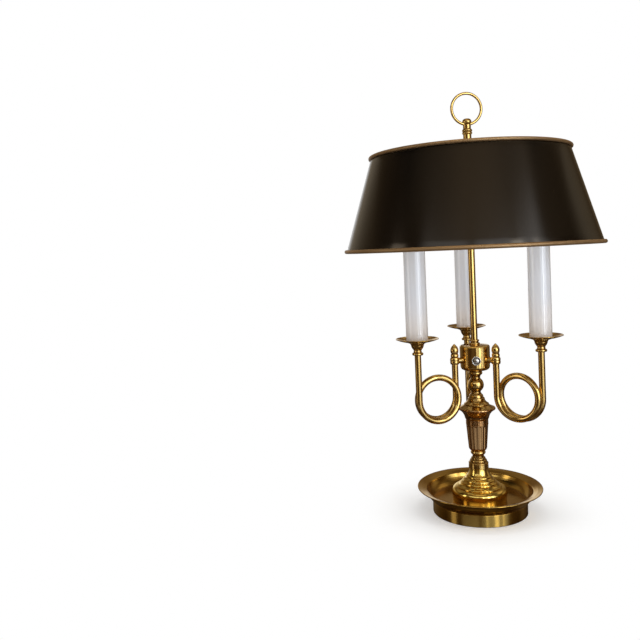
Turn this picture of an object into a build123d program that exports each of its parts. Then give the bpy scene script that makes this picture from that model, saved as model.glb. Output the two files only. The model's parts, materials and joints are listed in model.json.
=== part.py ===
from build123d import *
import os
from math import cos, pi, radians, sin, sqrt

# Bouillotte table lamp, in millimetres. The origin is the middle of the felt under the foot,
# +Z is up, and the push switch faces -Y. Heights run up the lamp as one chain, from the table
# to the ring on the finial, so each piece stands on the one below it.
#
# A turned outline is a list of mouldings from the foot up. Each is (radius reached, rise, swell):
# swell is how far the arc to that point bulges out of the metal, 0 for a straight run. DOME makes
# the arc to or from the axis part of a ball that is centred on the axis.
# A hollow runs from the top down as (radius, height above the foot that it reaches down to).

DOME = "dome"

# Foot: felt, iron weight and brass band
felt_thickness = 2.0
weight_height = 15.0
weight_gap = 0.5
band_radius = 73.5
band_wall = 1.8
band_lift = 0.7
band_ledge_thickness = 1.6
band_ledge_width = 7.5
nut_recess_radius = 16.0
nut_recess_depth = 9.0

# Cord outlet at the back of the foot
outlet_height = 9.0
outlet_bore_radius = 3.25
bushing_barrel_radius = 5.0
bushing_flange_radius = 6.5
bushing_flange_thickness = 1.6
bushing_tail = 4.0
slot_clearance = 1.0

# Tray
tray_sheet = 1.6
tray_inset = 1.5
tray_corner_radius = 1.2
tray_wall_spread = 9.5
tray_wall_height = 16.1
tray_wall_swell = 1.5
tray_flare_width = 14.0
tray_flare_rise = 4.0
tray_flare_sag = 0.35
tray_foot_swell = 0.45
tray_rim_swell = 0.7
tray_corner_sag = 0.3

# Threaded pipe up the middle, with its nuts
pipe_radius = 4.95
pipe_bore_radius = 3.5
pipe_fit = 0.2
pipe_tail = 7.8
hex_nut_across_flats = 17.0
hex_nut_height = 5.0
lock_washer_radius = 9.5
lock_washer_thickness = 1.6
lock_nut_across_flats = 15.0
lock_nut_height = 3.0
pipe_end_above_nut = 1.0

# Mound on the tray floor
mound_foot_radius = 42.8
mound_mouldings = [
    (42.4, 10.2, 0.0),    # upright side
    (36.3, 9.6, 2.4),     # ovolo shoulder
    (34.2, 0.3, 0.0),     # step
    (33.6, 2.2, 0.8),     # bead
    (28.4, 3.0, -0.8),    # scotia
]
mound_hollow = [(27.0, 11.0), (38.5, 0.0)]
mound_top_plate = 5.0

# Skirt of rings and flared neck
skirt_foot_radius = 27.6
skirt_mouldings = [
    (26.9, 3.3, 0.9),     # large bead
    (24.4, 1.0, -0.3),    # cove
    (23.6, 3.4, 0.8),     # middle bead
    (19.4, 2.2, -0.6),    # cove
    (18.9, 2.7, 0.6),     # small bead
    (18.0, 0.3, 0.0),     # step
    (14.3, 11.2, -0.9),   # flared neck
]
skirt_hollow = [(11.0, 5.0), (20.5, 0.0)]
skirt_top_plate = 4.0

# Rings under the vase
rings_foot_radius = 15.0
rings_mouldings = [
    (15.5, 0.6, 0.0),     # collar edge
    (15.2, 6.2, 0.0),     # collar
    (14.6, 0.4, 0.0),     # groove
    (14.8, 2.2, 0.8),     # bead
    (12.9, 1.2, -0.4),    # cove
    (12.5, 3.1, 0.7),     # bead
    (10.9, 1.0, -0.3),    # cove
    (10.4, 2.6, 0.5),     # bead
    (8.9, 1.3, -0.3),     # cove
    (8.9, 1.2, 0.0),      # neck
    (10.8, 3.0, -0.5),    # cove
    (10.8, 4.4, 0.8),     # bead
    (10.2, 1.0, 0.0),     # seat of the vase
]

# Fluted vase
vase_foot_radius = 11.2
vase_chamfer_radius = 14.2
vase_chamfer_height = 4.0
vase_chamfer_swell = 0.4
vase_body_radius = 17.1
vase_body_height = 36.8
vase_ring_count = 4
vase_ring_pitch = 2.2
vase_ring_height = 1.1
vase_ring_proud = 0.35
vase_neck_radius = 18.6
vase_neck_height = 2.1
vase_lip_radius = 28.3
vase_lip_height = 3.1
vase_lip_swell = 0.8
vase_flare_height = 13.9
vase_flare_sag = 2.0
vase_wall = 4.0
vase_floor = 8.0
flute_count = 16
flute_radius = 2.6
flute_depth = 0.7
flute_margin = 0.8

# Spindle between the vase and the cluster
spindle_foot_radius = 27.8
spindle_mouldings = [
    (19.9, 4.1, -0.3),    # sloping shoulder
    (19.0, 0.3, 0.0),     # step
    (18.4, 2.3, 0.7),     # bead
    (16.9, 0.9, 0.0),     # step
    (13.0, 5.4, -0.5),    # cove
    (12.6, 2.2, 0.3),     # fillet bead
    (11.2, 0.5, 0.0),     # step
    (10.5, 4.2, 0.2),     # barrel
    (7.4, 4.2, -0.5),     # cove
    (7.4, 1.8, 0.0),      # neck
]
ball_radius = 12.3
ball_neck_radius = 7.3
spindle_head_mouldings = [
    (7.2, 2.5, 0.0),      # neck
    (10.0, 4.2, -0.7),    # cove
    (10.0, 4.6, 0.8),     # flange bead
    (8.6, 0.5, 0.0),      # step
    (8.6, 2.0, 0.0),      # seat of the cluster
]
spindle_hollow = [(9.0, 0.0)]
spindle_hollow_depth = 14.0

# Cluster body that carries the arms, the switch and the rod
cup_radius = 22.8
cup_height = 10.0
cup_corner = 5.5
cup_corner_swell = 1.3
cup_wall = 2.0
drum_radius = 23.3
drum_wall = 1.8
drum_height = 26.0
spigot_height = 1.2
spigot_wall = 1.8
spigot_fit = 0.05
cap_edge_height = 1.2
cap_bevel = 2.0
cap_crown_rise = 1.0
cap_swell = 0.2
cap_land_radius = 9.5
cap_ceiling = 0.4

# Centre rod, its nut and collars
rod_radius = 5.3
rod_fit = 0.05
rod_length_above_cap = 290.5
rod_nut_across_flats = 16.0
rod_nut_height = 5.0
rod_end_below_nut = 1.0
rod_stud_radius = 3.0
rod_stud_in_finial = 12.0
collar_foot_radius = 8.2
collar_mouldings = [
    (8.2, 2.6, 0.5),      # bead on the cap
    (6.6, 0.4, 0.0),      # step
    (6.4, 1.6, -0.2),     # neck
    (7.0, 0.2, 0.0),      # step
    (7.0, 2.6, 0.5),      # bead
    (6.0, 0.4, 0.0),      # step
]
rest_collar_radius = 9.0
rest_collar_height = 4.0
rest_collar_rounding = 1.0
seat_gap = 0.3

# Push switch
switch_height = 7.4
switch_barrel_radius = 5.4
switch_barrel_fit = 0.05
switch_flat_depth = 0.9
switch_nut_radius = 7.2
switch_flat_margin = 0.1
switch_nut_thickness = 3.2
switch_nut_notches = 12
switch_nut_notch_radius = 0.5
switch_recess = 1.0
plunger_radius = 4.0
plunger_fit = 0.05
plunger_proud = 2.4
plunger_travel = 3.0
plunger_length = 13.0
plunger_rounding = 1.0
plunger_edge_swell = 0.3
plunger_end_room = 0.6
switch_housing_width = 12.0
switch_housing_height = 11.6
switch_housing_length = 14.0
switch_housing_setback = 1.0

# Arms: azimuths, knuckles, scrolled tubes
arm_turn = -3.5
arm_azimuths = {"left": 210.0 + arm_turn, "right": 330.0 + arm_turn, "back": 90.0 + arm_turn}
knuckle_reach = 36.0
knuckle_radius = 6.9
knuckle_swell = 0.5
knuckle_height = 10.6
knuckle_drop = 5.2
knuckle_socket_depth = 2.6
knuckle_bore_radius = 3.9
nipple_height = 7.0
nipple_radius = 4.5
nipple_bore_radius = 2.9
nipple_inner_end = 3.0
nipple_tube_gap = 0.3
tube_radius = 4.9
tube_bore_radius = 3.9
tube_fit = 0.03
loop_drop = 54.6
first_turn_radius = 33.1
second_turn_radius = 32.4
third_turn_radius = 33.7
coil_gap = 1.0
turn_corners = 4
turn_roundness = 0.985
outer_leg_height = 75.3

# Acorn nuts on the knuckles
acorn_foot_radius = 5.3
acorn_mouldings = [
    (5.3, 5.6, 0.8),      # ring
    (4.9, 0.5, 0.0),      # groove
    (5.9, 2.2, 0.2),      # shoulder of the acorn
    (1.6, 11.5, 1.9),     # ogive
    (0.0, 1.4, DOME),     # tip
]
acorn_stud_radius = 3.85
acorn_stud_length = 2.4

# Arm heads: collar, cup and drip pan
head_collar_foot_radius = 7.6
head_collar_mouldings = [
    (7.6, 3.8, 0.95),     # bead
    (5.9, 0.6, 0.0),      # step
    (5.9, 2.0, 0.3),      # small bead
    (5.7, 1.2, 0.0),      # neck
]
head_collar_socket = 4.2
pan_cup_foot_radius = 6.3
pan_cup_mouldings = [
    (6.5, 1.0, 0.0),      # foot
    (9.5, 5.6, 0.5),      # bulb
    (9.6, 0.9, 0.2),      # band
    (14.2, 3.8, -0.9),    # flare
    (14.4, 1.2, 0.25),    # edge
]
pan_sheet = 1.1
pan_floor_radius = 17.5
pan_rim_radius = 32.0
pan_rim_rise = 4.2
pan_sag = 0.5
pan_rim_swell = 0.45
head_nipple_radius = 4.7
head_nipple_bore_radius = 3.0
head_nipple_fit = 0.05
head_nipple_above_nut = 1.5

# Candle covers, sockets and bulbs
cover_radius = 16.5
cover_wall = 1.2
cover_length = 152.0
cover_rounding = 0.5
cover_edge_swell = 0.1
bracket_thickness = 1.5
bracket_width = 9.0
bracket_eye_radius = 9.0
bracket_offset = 11.5
bracket_height = 99.0
bracket_wire_hole_radius = 2.4
bracket_nut_across_flats = 14.0
bracket_nut_height = 4.0
socket_radius = 15.1
socket_length = 45.0
socket_floor = 12.0
socket_shell_thickness = 0.5
socket_shell_fit = 0.05
socket_shell_inset = 1.0
contact_radius = 4.0
contact_height = 1.2
lead_radius = 1.6
lead_bend = 3.0
lead_end_in_connector = 2.0
connector_radius = 2.6
connector_length = 7.0
connector_start = 10.8
bulb_base_radius = 13.0
bulb_fit = 0.05
bulb_button_radius = 4.7
bulb_button_height = 2.0
bulb_insulator_radius = 9.5
bulb_insulator_rise = 2.6
bulb_thread_start = 2.0
bulb_thread_swell = 0.3
bulb_thread_length = 24.0
bulb_neck_radius = 12.3
bulb_neck_height = 9.0
bulb_radius = 17.5
bulb_shoulder_height = 24.0
bulb_shoulder_swell = 1.0
bulb_taper_height = 61.0
bulb_taper_swell = 3.6
bulb_tip_radius = 4.0
bulb_tip_height = 3.0
bulb_glass_wall = 0.8

# Shade
shade_bottom_radius = 194.3
shade_top_radius = 150.8
shade_height = 144.2
shade_sheet = 0.8
shade_rise_over_hub = 5.7
bottom_bead_radius = 3.0
bottom_bead_proud = 0.9
top_bead_radius = 2.6
top_bead_proud = 1.4
hub_radius = 13.0
hub_thickness = 3.0
hub_fit = 0.08
spider_arm_radius = 1.75
spider_azimuths = (30.0, 150.0, 270.0)

# Finial
finial_foot_radius = 6.4
finial_mouldings = [
    (6.3, 33.9, 0.0),     # stem
    (6.9, 0.4, 0.0),      # step
    (6.9, 3.6, 0.95),     # bead
    (6.9, 0.3, 0.0),      # groove
    (6.9, 3.8, 0.95),     # bead
    (6.0, 0.7, 0.0),      # step
    (6.0, 6.5, 0.0),      # neck
    (4.9, 0.3, 0.0),      # undercut of the ball
    (3.4, 8.9, 2.9),      # flattened ball
    (0.0, 0.5, DOME),     # crown
]
finial_hole_clearance = 1.0
finial_stud_fit = 0.05
ring_radius = 23.9
ring_wire_radius = 2.2
ring_sink = 9.2
ring_turn = 16.0


def turned(outline):
    """Turn a closed outline about Z. A corner is (radius, height) or (radius, height, swell)."""
    edges = []
    for before, corner in zip(outline[-1:] + outline[:-1], outline):
        start = Vector(before[0], 0, before[1])
        end = Vector(corner[0], 0, corner[1])
        swell = corner[2] if len(corner) == 3 else 0.0
        if swell == 0.0:
            edges.append(Line(start, end))
        elif swell == DOME:
            rim = max(start.X, end.X)
            rise = abs(end.Z - start.Z)
            ball = (rim ** 2 + rise ** 2) / (2 * rise)
            ball_middle = Vector(0, 0, max(start.Z, end.Z) - ball)
            towards_arc = ((start + end) * 0.5 - ball_middle).normalized()
            edges.append(ThreePointArc(start, ball_middle + towards_arc * ball, end))
        else:
            outward = Vector(end.Z - start.Z, 0, start.X - end.X).normalized()
            edges.append(ThreePointArc(start, (start + end) * 0.5 + outward * swell, end))
    return revolve(make_face(edges), Axis.Z)


def rise_of(mouldings):
    return sum(rise for radius, rise, swell in mouldings)


def moulded(foot, foot_radius, mouldings, hollow):
    """Turned piece that stands at height foot, with its mouldings outside and its hollow inside."""
    outline = [(foot_radius, foot)]
    level = foot
    for radius, rise, swell in mouldings:
        level += rise
        outline.append((radius, level, swell))
    for radius, floor in hollow:
        if radius != outline[-1][0]:
            outline.append((radius, level))
        level = foot + floor
        outline.append((radius, level))
    return turned(outline)


def upright(radius, bottom, top):
    return Pos(0, 0, (bottom + top) / 2) * Cylinder(radius, top - bottom)


def tube(radius, bore, bottom, top):
    return turned([(bore, bottom), (radius, bottom), (radius, top), (bore, top)])


def hex_nut(across_flats, bore, bottom, height):
    body = extrude(RegularPolygon(across_flats / sqrt(3), 6), height)
    return Pos(0, 0, bottom) * body - upright(bore, bottom, bottom + height)


def along_y(shape, height):
    """Lay a piece that was made along Z, with its front end up, along -Y at the given height."""
    return Pos(0, 0, height) * Rot(90, 0, 0) * shape


# Heights up the lamp
weight_top = felt_thickness + weight_height
band_top = weight_top + band_ledge_thickness
tray_floor_top = band_top + tray_sheet
mound_top = tray_floor_top + rise_of(mound_mouldings)
skirt_top = mound_top + rise_of(skirt_mouldings)
rings_top = skirt_top + rise_of(rings_mouldings)
vase_rings_height = vase_ring_count * vase_ring_pitch
vase_height = (vase_chamfer_height + vase_body_height + vase_rings_height + vase_neck_height
               + vase_flare_height + vase_lip_height)
vase_top = rings_top + vase_height
ball_half_height = sqrt(ball_radius ** 2 - ball_neck_radius ** 2)
ball_swell = ball_radius - ball_neck_radius
spindle_outline = (spindle_mouldings + [(ball_neck_radius, 2 * ball_half_height, ball_swell)]
                   + spindle_head_mouldings)
spindle_top = vase_top + rise_of(spindle_outline)
cup_top = spindle_top + cup_height
drum_top = cup_top + drum_height
cap_top = drum_top + cap_edge_height + cap_bevel + cap_crown_rise
rod_top = cap_top + rod_length_above_cap
hub_bottom = rod_top + seat_gap
hub_top = hub_bottom + hub_thickness
finial_foot = hub_top + seat_gap
finial_top = finial_foot + rise_of(finial_mouldings)
ring_centre = finial_top - ring_sink + ring_radius

# Mating sizes
weight_radius = band_radius - band_wall - weight_gap
pipe_hole = pipe_radius + pipe_fit
recess_ceiling = felt_thickness + nut_recess_depth
cup_floor_top = spindle_top + cup_wall
pipe_top = cup_floor_top + lock_nut_height + pipe_end_above_nut
pipe_bottom = recess_ceiling - pipe_tail
slot_half_width = bushing_barrel_radius + slot_clearance
drum_bore = drum_radius - drum_wall
spigot_radius = drum_bore - spigot_fit
rod_hole = rod_radius + rod_fit
tube_hole = tube_radius + tube_fit


# Foot
def felt_pad():
    return upright(weight_radius, 0, felt_thickness)


def base_weight():
    """Iron disc with a recess for the nut, and a slot from the recess to the cord outlet."""
    disc = turned([
        (nut_recess_radius, felt_thickness),
        (weight_radius, felt_thickness),
        (weight_radius, weight_top),
        (pipe_hole, weight_top),
        (pipe_hole, recess_ceiling),
        (nut_recess_radius, recess_ceiling),
    ])
    slot_top = outlet_height + bushing_barrel_radius + slot_clearance / 2
    slot = Box(2 * slot_half_width, weight_radius + weight_gap, slot_top - felt_thickness,
               align=(Align.CENTER, Align.MIN, Align.MIN))
    return disc - Pos(0, nut_recess_radius / 2, felt_thickness) * slot


def base_band():
    """Brass band round the weight, with an inward ledge that the tray sits on."""
    band = turned([
        (band_radius - band_wall, band_lift),
        (band_radius, band_lift),
        (band_radius, band_top),
        (band_radius - band_ledge_width, band_top),
        (band_radius - band_ledge_width, weight_top),
        (band_radius - band_wall, weight_top),
    ])
    hole = Cylinder(bushing_barrel_radius, 4 * band_wall)
    return band - Pos(0, band_radius, outlet_height) * Rot(90, 0, 0) * hole


def cord_bushing():
    """Flanged plastic bushing in the band, bored for the supply cord."""
    flange_end = band_radius + bushing_flange_thickness
    tail_end = band_radius - band_wall - bushing_tail
    profile = turned([
        (outlet_bore_radius, tail_end),
        (bushing_barrel_radius, tail_end),
        (bushing_barrel_radius, band_radius),
        (bushing_flange_radius, band_radius),
        (bushing_flange_radius, flange_end),
        (outlet_bore_radius, flange_end),
    ])
    return Pos(0, 0, outlet_height) * Rot(-90, 0, 0) * profile


def tray():
    """Spun brass tray: flat floor, rounded wall and flared rim."""
    floor_radius = band_radius - tray_inset
    lip_radius = floor_radius + tray_wall_spread
    lip_height = tray_floor_top + tray_wall_height
    rim_radius = lip_radius + tray_flare_width
    rim_height = lip_height + tray_flare_rise
    return turned([
        (pipe_hole, band_top),
        (floor_radius, band_top),
        (floor_radius + tray_sheet, tray_floor_top, tray_foot_swell),
        (lip_radius + tray_sheet, lip_height - tray_sheet, tray_wall_swell),
        (rim_radius, rim_height - tray_sheet, -tray_flare_sag),
        (rim_radius, rim_height, tray_rim_swell),
        (lip_radius, lip_height, tray_flare_sag),
        (floor_radius, tray_floor_top + tray_corner_radius, -tray_wall_swell),
        (floor_radius - tray_corner_radius, tray_floor_top, -tray_corner_sag),
        (pipe_hole, tray_floor_top),
    ])


# Pipe and nuts
def threaded_pipe():
    return tube(pipe_radius, pipe_bore_radius, pipe_bottom, pipe_top)


def base_lock_washer():
    return tube(lock_washer_radius, pipe_radius, recess_ceiling - lock_washer_thickness, recess_ceiling)


def base_hex_nut():
    top = recess_ceiling - lock_washer_thickness
    return hex_nut(hex_nut_across_flats, pipe_radius, top - hex_nut_height, hex_nut_height)


def cluster_lock_nut():
    return hex_nut(lock_nut_across_flats, pipe_radius, cup_floor_top, lock_nut_height)


# Column
def base_mound():
    plate_floor = rise_of(mound_mouldings) - mound_top_plate
    hollow = [(pipe_hole, plate_floor)] + mound_hollow
    return moulded(tray_floor_top, mound_foot_radius, mound_mouldings, hollow)


def base_skirt():
    plate_floor = rise_of(skirt_mouldings) - skirt_top_plate
    hollow = [(pipe_hole, plate_floor)] + skirt_hollow
    return moulded(mound_top, skirt_foot_radius, skirt_mouldings, hollow)


def column_rings():
    return moulded(skirt_top, rings_foot_radius, rings_mouldings, [(pipe_hole, 0.0)])


def column_vase():
    """Tapered vase with engraved rings, a flared lip and round-ended flutes."""
    mouldings = [
        (vase_chamfer_radius, vase_chamfer_height, vase_chamfer_swell),
        (vase_body_radius, vase_body_height, 0.0),
    ]
    ring_space = vase_ring_pitch - vase_ring_height
    for ring in range(vase_ring_count):
        mouldings.append((vase_body_radius, ring_space, 0.0))
        mouldings.append((vase_body_radius, vase_ring_height, vase_ring_proud))
    mouldings.append((vase_neck_radius, vase_neck_height, 0.0))
    mouldings.append((vase_lip_radius, vase_flare_height, -vase_flare_sag))
    mouldings.append((vase_lip_radius, vase_lip_height, vase_lip_swell))
    inside = [(vase_chamfer_radius - vase_wall, vase_floor), (pipe_hole, 0.0)]
    vase = moulded(rings_top, vase_foot_radius, mouldings, inside)

    foot = rings_top + vase_chamfer_height
    lean = (vase_body_radius - vase_chamfer_radius) / vase_body_height
    low = foot + flute_margin
    high = foot + vase_body_height - flute_margin - flute_radius
    reach_out = flute_radius - flute_depth
    lower_end = Vector(vase_chamfer_radius + lean * (low - foot) + reach_out, 0, low)
    upper_end = Vector(vase_chamfer_radius + lean * (high - foot) + reach_out, 0, high)
    stroke = Line(lower_end, upper_end)
    groove = sweep(Plane(origin=lower_end, z_dir=stroke % 0) * Circle(flute_radius), stroke)
    cutter = groove + Pos(lower_end) * Sphere(flute_radius) + Pos(upper_end) * Sphere(flute_radius)
    for flute in range(flute_count):
        vase -= Rot(0, 0, (flute + 0.5) * 360 / flute_count) * cutter
    return vase


def stem_spindle():
    hollow = [(pipe_hole, spindle_hollow_depth)] + spindle_hollow
    return moulded(vase_top, spindle_foot_radius, spindle_outline, hollow)


# Cluster
def cluster_bottom_cup():
    spigot_top = cup_top + spigot_height
    spigot_bore = spigot_radius - spigot_wall
    return turned([
        (pipe_hole, spindle_top),
        (cup_radius - cup_corner, spindle_top),
        (cup_radius, spindle_top + cup_corner, cup_corner_swell),
        (cup_radius, cup_top),
        (spigot_radius, cup_top),
        (spigot_radius, spigot_top),
        (spigot_bore, spigot_top),
        (spigot_bore, cup_floor_top + cup_corner),
        (spigot_bore - cup_corner, cup_floor_top, -cup_corner_swell),
        (pipe_hole, cup_floor_top),
    ])


def cluster_drum():
    """Drum with holes for the three arm nipples, and a flat and a hole for the switch."""
    drum = tube(drum_radius, drum_bore, cup_top, drum_top)
    nipple_hole = Pos(0, 0, nipple_level) * Rot(0, 90, 0) * upright(nipple_radius, 0, 2 * drum_radius)
    for azimuth in arm_azimuths.values():
        drum -= Rot(0, 0, azimuth) * nipple_hole
    drum -= along_y(upright(switch_barrel_hole, 0, 2 * drum_radius), switch_level)
    spot_face = upright(switch_nut_radius + switch_flat_margin, nut_seat, 2 * drum_radius)
    return drum - along_y(spot_face, switch_level)


def cluster_top_cap():
    edge_top = drum_top + cap_edge_height
    ceiling = drum_top + cap_ceiling
    spigot_bore = spigot_radius - spigot_wall
    return turned([
        (spigot_bore, drum_top - spigot_height),
        (spigot_radius, drum_top - spigot_height),
        (spigot_radius, drum_top),
        (drum_radius, drum_top),
        (drum_radius, edge_top),
        (drum_radius - cap_bevel, edge_top + cap_bevel, cap_swell),
        (cap_land_radius, cap_top, cap_swell),
        (rod_hole, cap_top),
        (rod_hole, ceiling),
        (spigot_bore, ceiling),
    ])


# Rod
def centre_rod():
    """Rod from inside the cluster to the shade, with a threaded stud on top for the finial."""
    bottom = drum_top + cap_ceiling - rod_nut_height - rod_end_below_nut
    stud_top = finial_foot + rod_stud_in_finial
    return turned([
        (0, bottom),
        (rod_radius, bottom),
        (rod_radius, rod_top),
        (rod_stud_radius, rod_top),
        (rod_stud_radius, stud_top),
        (0, stud_top),
    ])


def rod_nut():
    bottom = drum_top + cap_ceiling - rod_nut_height
    return hex_nut(rod_nut_across_flats, rod_radius, bottom, rod_nut_height)


def rod_foot_collar():
    return moulded(cap_top, collar_foot_radius, collar_mouldings, [(rod_hole, 0.0)])


def rod_rest_collar():
    collar = tube(rest_collar_radius, rod_hole, rod_top - rest_collar_height, rod_top)
    lower_edges = collar.edges().filter_by(GeomType.CIRCLE).sort_by(Axis.Z)[:2]
    return fillet(lower_edges.sort_by(SortBy.RADIUS)[-1:], rest_collar_rounding)


# Switch: made along Z with its front end up, then laid along -Y
switch_level = cup_top + switch_height
switch_barrel_hole = switch_barrel_radius + switch_barrel_fit
nut_seat = drum_radius - switch_flat_depth
nut_front = nut_seat + switch_nut_thickness
barrel_front = nut_front - switch_recess
plunger_bore = plunger_radius + plunger_fit
housing_front = drum_bore - switch_housing_setback
plunger_front = nut_front + plunger_proud
plunger_back = plunger_front - plunger_length
nipple_level = cup_top + nipple_height


def switch_housing():
    body = Pos(0, 0, housing_front - switch_housing_length / 2) * Box(
        switch_housing_width, switch_housing_height, switch_housing_length)
    room_floor = plunger_back - plunger_travel - plunger_end_room
    return along_y(body - upright(plunger_bore, room_floor, housing_front), switch_level)


def switch_bushing():
    return along_y(tube(switch_barrel_radius, plunger_bore, housing_front, barrel_front), switch_level)


def switch_ring_nut():
    """Round nut with a notched edge, that clamps the switch to the flat on the drum."""
    nut = tube(switch_nut_radius, switch_barrel_radius, nut_seat, nut_front)
    notch = Pos(switch_nut_radius, 0, 0) * upright(switch_nut_notch_radius, nut_seat, nut_front)
    for step in range(switch_nut_notches):
        nut -= Rot(0, 0, step * 360 / switch_nut_notches) * notch
    return along_y(nut, switch_level)


def switch_plunger():
    button = turned([
        (0, plunger_back),
        (plunger_radius, plunger_back),
        (plunger_radius, plunger_front - plunger_rounding),
        (plunger_radius - plunger_rounding, plunger_front, plunger_edge_swell),
        (0, plunger_front),
    ])
    return along_y(button, switch_level)


# Arms: each is made in the plane of +X and turned to its azimuth
knuckle_bottom = nipple_level - knuckle_drop
knuckle_top = knuckle_bottom + knuckle_height
tube_start = knuckle_bottom + knuckle_socket_depth
nipple_start = drum_bore - nipple_inner_end
nipple_end = knuckle_reach - tube_radius - nipple_tube_gap
loop_level = nipple_level - loop_drop
arm_top = loop_level + outer_leg_height
side_shift = 2 * tube_radius + coil_gap
first_middle = knuckle_reach + first_turn_radius
second_middle = first_middle + first_turn_radius - second_turn_radius
third_middle = second_middle - second_turn_radius + third_turn_radius
candle_reach = third_middle + third_turn_radius


def on_arms(shape):
    return [Rot(0, 0, azimuth) * shape for azimuth in arm_azimuths.values()]


def on_candles(shape):
    return on_arms(Pos(candle_reach, side_shift, 0) * shape)


def half_turn(middle, radius, side, shifts):
    """Corners of half a turn of the tube. Side -1 runs outwards below the loop's middle, and
    side 1 runs back above it. Each corner has its own sideways shift."""
    step = 180 / turn_corners
    reach = radius / cos(radians(step / 2))
    corners = []
    for corner, shift in enumerate(shifts):
        angle = radians((corner + 0.5) * step)
        corners.append((middle + side * reach * cos(angle), shift, loop_level + side * reach * sin(angle)))
    return corners


def arm_route(start_points, start_bends, end_height):
    """Middle line of an arm: down the inner leg, once round the loop, and up the outer leg."""
    level = [0.0] * turn_corners
    climbing = [side_shift * (corner + 0.5) / turn_corners for corner in range(turn_corners)]
    shifted = [side_shift] * turn_corners
    corners = half_turn(first_middle, first_turn_radius, -1, level)
    corners += half_turn(second_middle, second_turn_radius, 1, climbing)
    corners += half_turn(third_middle, third_turn_radius, -1, shifted)
    bends = list(start_bends)
    for radius in (first_turn_radius, second_turn_radius, third_turn_radius):
        bends += [turn_roundness * radius] * turn_corners
    end = (candle_reach, side_shift, end_height)
    return FilletPolyline(*start_points, *corners, end, radius=bends)


def arm_tube():
    """Tube bent into one open loop, whose second pass lies beside the first."""
    route = arm_route([(knuckle_reach, 0, tube_start)], [], arm_top)
    across = Plane(origin=route @ 0, z_dir=route % 0)
    bent = sweep(across * Circle(tube_radius), route) - sweep(across * Circle(tube_bore_radius), route)
    ring_area = pi * (tube_radius ** 2 - tube_bore_radius ** 2)
    print("arm tube volume against section times length:", bent.volume / (ring_area * route.length))
    return bent


def arm_nipple():
    return Rot(0, 90, 0) * tube(nipple_radius, nipple_bore_radius, nipple_start, nipple_end)


def arm_knuckle():
    """Squat barrel, bored from below for the arm and from the side for the nipple."""
    half = knuckle_height / 2
    barrel = turned([
        (tube_hole, knuckle_bottom),
        (knuckle_radius - knuckle_swell, knuckle_bottom),
        (knuckle_radius, knuckle_bottom + half, knuckle_swell),
        (knuckle_radius - knuckle_swell, knuckle_top, knuckle_swell),
        (knuckle_bore_radius, knuckle_top),
        (knuckle_bore_radius, tube_start),
        (tube_hole, tube_start),
    ])
    nipple_space = Rot(0, 90, 0) * upright(nipple_radius, nipple_start, nipple_end)
    passage = Rot(0, 90, 0) * upright(nipple_bore_radius, nipple_start, knuckle_reach)
    return Pos(knuckle_reach, 0, 0) * barrel - Pos(0, 0, nipple_level) * (nipple_space + passage)


def acorn_nut():
    acorn = moulded(knuckle_top, acorn_foot_radius, acorn_mouldings, [(0.0, 0.0)])
    stud = upright(acorn_stud_radius, knuckle_top - acorn_stud_length, knuckle_top)
    return Pos(knuckle_reach, 0, 0) * (acorn + stud)


# Heads of the arms, made on +Z
head_nipple_hole = head_nipple_radius + head_nipple_fit
head_collar_foot = arm_top - head_collar_socket
pan_cup_foot = head_collar_foot + rise_of(head_collar_mouldings)
pan_bottom = pan_cup_foot + rise_of(pan_cup_mouldings)
pan_floor_top = pan_bottom + pan_sheet
bracket_top = pan_floor_top + bracket_height
bracket_nut_bottom = pan_floor_top + bracket_thickness
socket_top = bracket_top + socket_length
shell_bottom = bracket_top + socket_floor
shell_bore = bulb_base_radius + socket_shell_fit
shell_radius = shell_bore + socket_shell_thickness
bulb_bottom = shell_bottom + contact_height + seat_gap
bulb_base_top = (bulb_bottom + bulb_button_height + bulb_insulator_rise + bulb_thread_start
                 + bulb_thread_length)


def arm_collar():
    hollow = [(head_nipple_hole, head_collar_socket), (tube_hole, 0.0)]
    return moulded(head_collar_foot, head_collar_foot_radius, head_collar_mouldings, hollow)


def pan_cup():
    return moulded(pan_cup_foot, pan_cup_foot_radius, pan_cup_mouldings, [(head_nipple_hole, 0.0)])


def drip_pan():
    rim = pan_bottom + pan_rim_rise
    return turned([
        (head_nipple_hole, pan_bottom),
        (pan_floor_radius, pan_bottom),
        (pan_rim_radius, rim, pan_sag),
        (pan_rim_radius, rim + pan_sheet, pan_rim_swell),
        (pan_floor_radius, pan_floor_top, -pan_sag),
        (head_nipple_hole, pan_floor_top),
    ])


def socket_nipple():
    top = bracket_nut_bottom + bracket_nut_height + head_nipple_above_nut
    return tube(head_nipple_radius, head_nipple_bore_radius, arm_top, top)


def bracket_nut():
    return hex_nut(bracket_nut_across_flats, head_nipple_radius, bracket_nut_bottom, bracket_nut_height)


def socket_bracket():
    """Strip bent into a tall C, with an eye on the pan and an eye under the socket."""
    reach = bracket_offset + bracket_thickness
    eye = upright(bracket_eye_radius, 0, bracket_thickness)
    eye += Pos(reach / 2, 0, bracket_thickness / 2) * Box(reach, bracket_width, bracket_thickness)
    strip = Box(bracket_thickness, bracket_width, bracket_height,
                align=(Align.MIN, Align.CENTER, Align.MIN))
    lower_eye = eye - upright(head_nipple_hole, 0, bracket_thickness)
    upper_eye = eye - upright(bracket_wire_hole_radius, 0, bracket_thickness)
    raised_eye = Pos(0, 0, bracket_height - bracket_thickness) * upper_eye
    return Pos(0, 0, pan_floor_top) * (lower_eye + Pos(bracket_offset, 0, 0) * strip + raised_eye)


def candle_cover():
    bore = cover_radius - cover_wall
    top = pan_floor_top + cover_length
    return turned([
        (bore, pan_floor_top),
        (cover_radius, pan_floor_top),
        (cover_radius, top - cover_rounding),
        (cover_radius - cover_rounding, top, cover_edge_swell),
        (bore, top),
    ])


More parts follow.
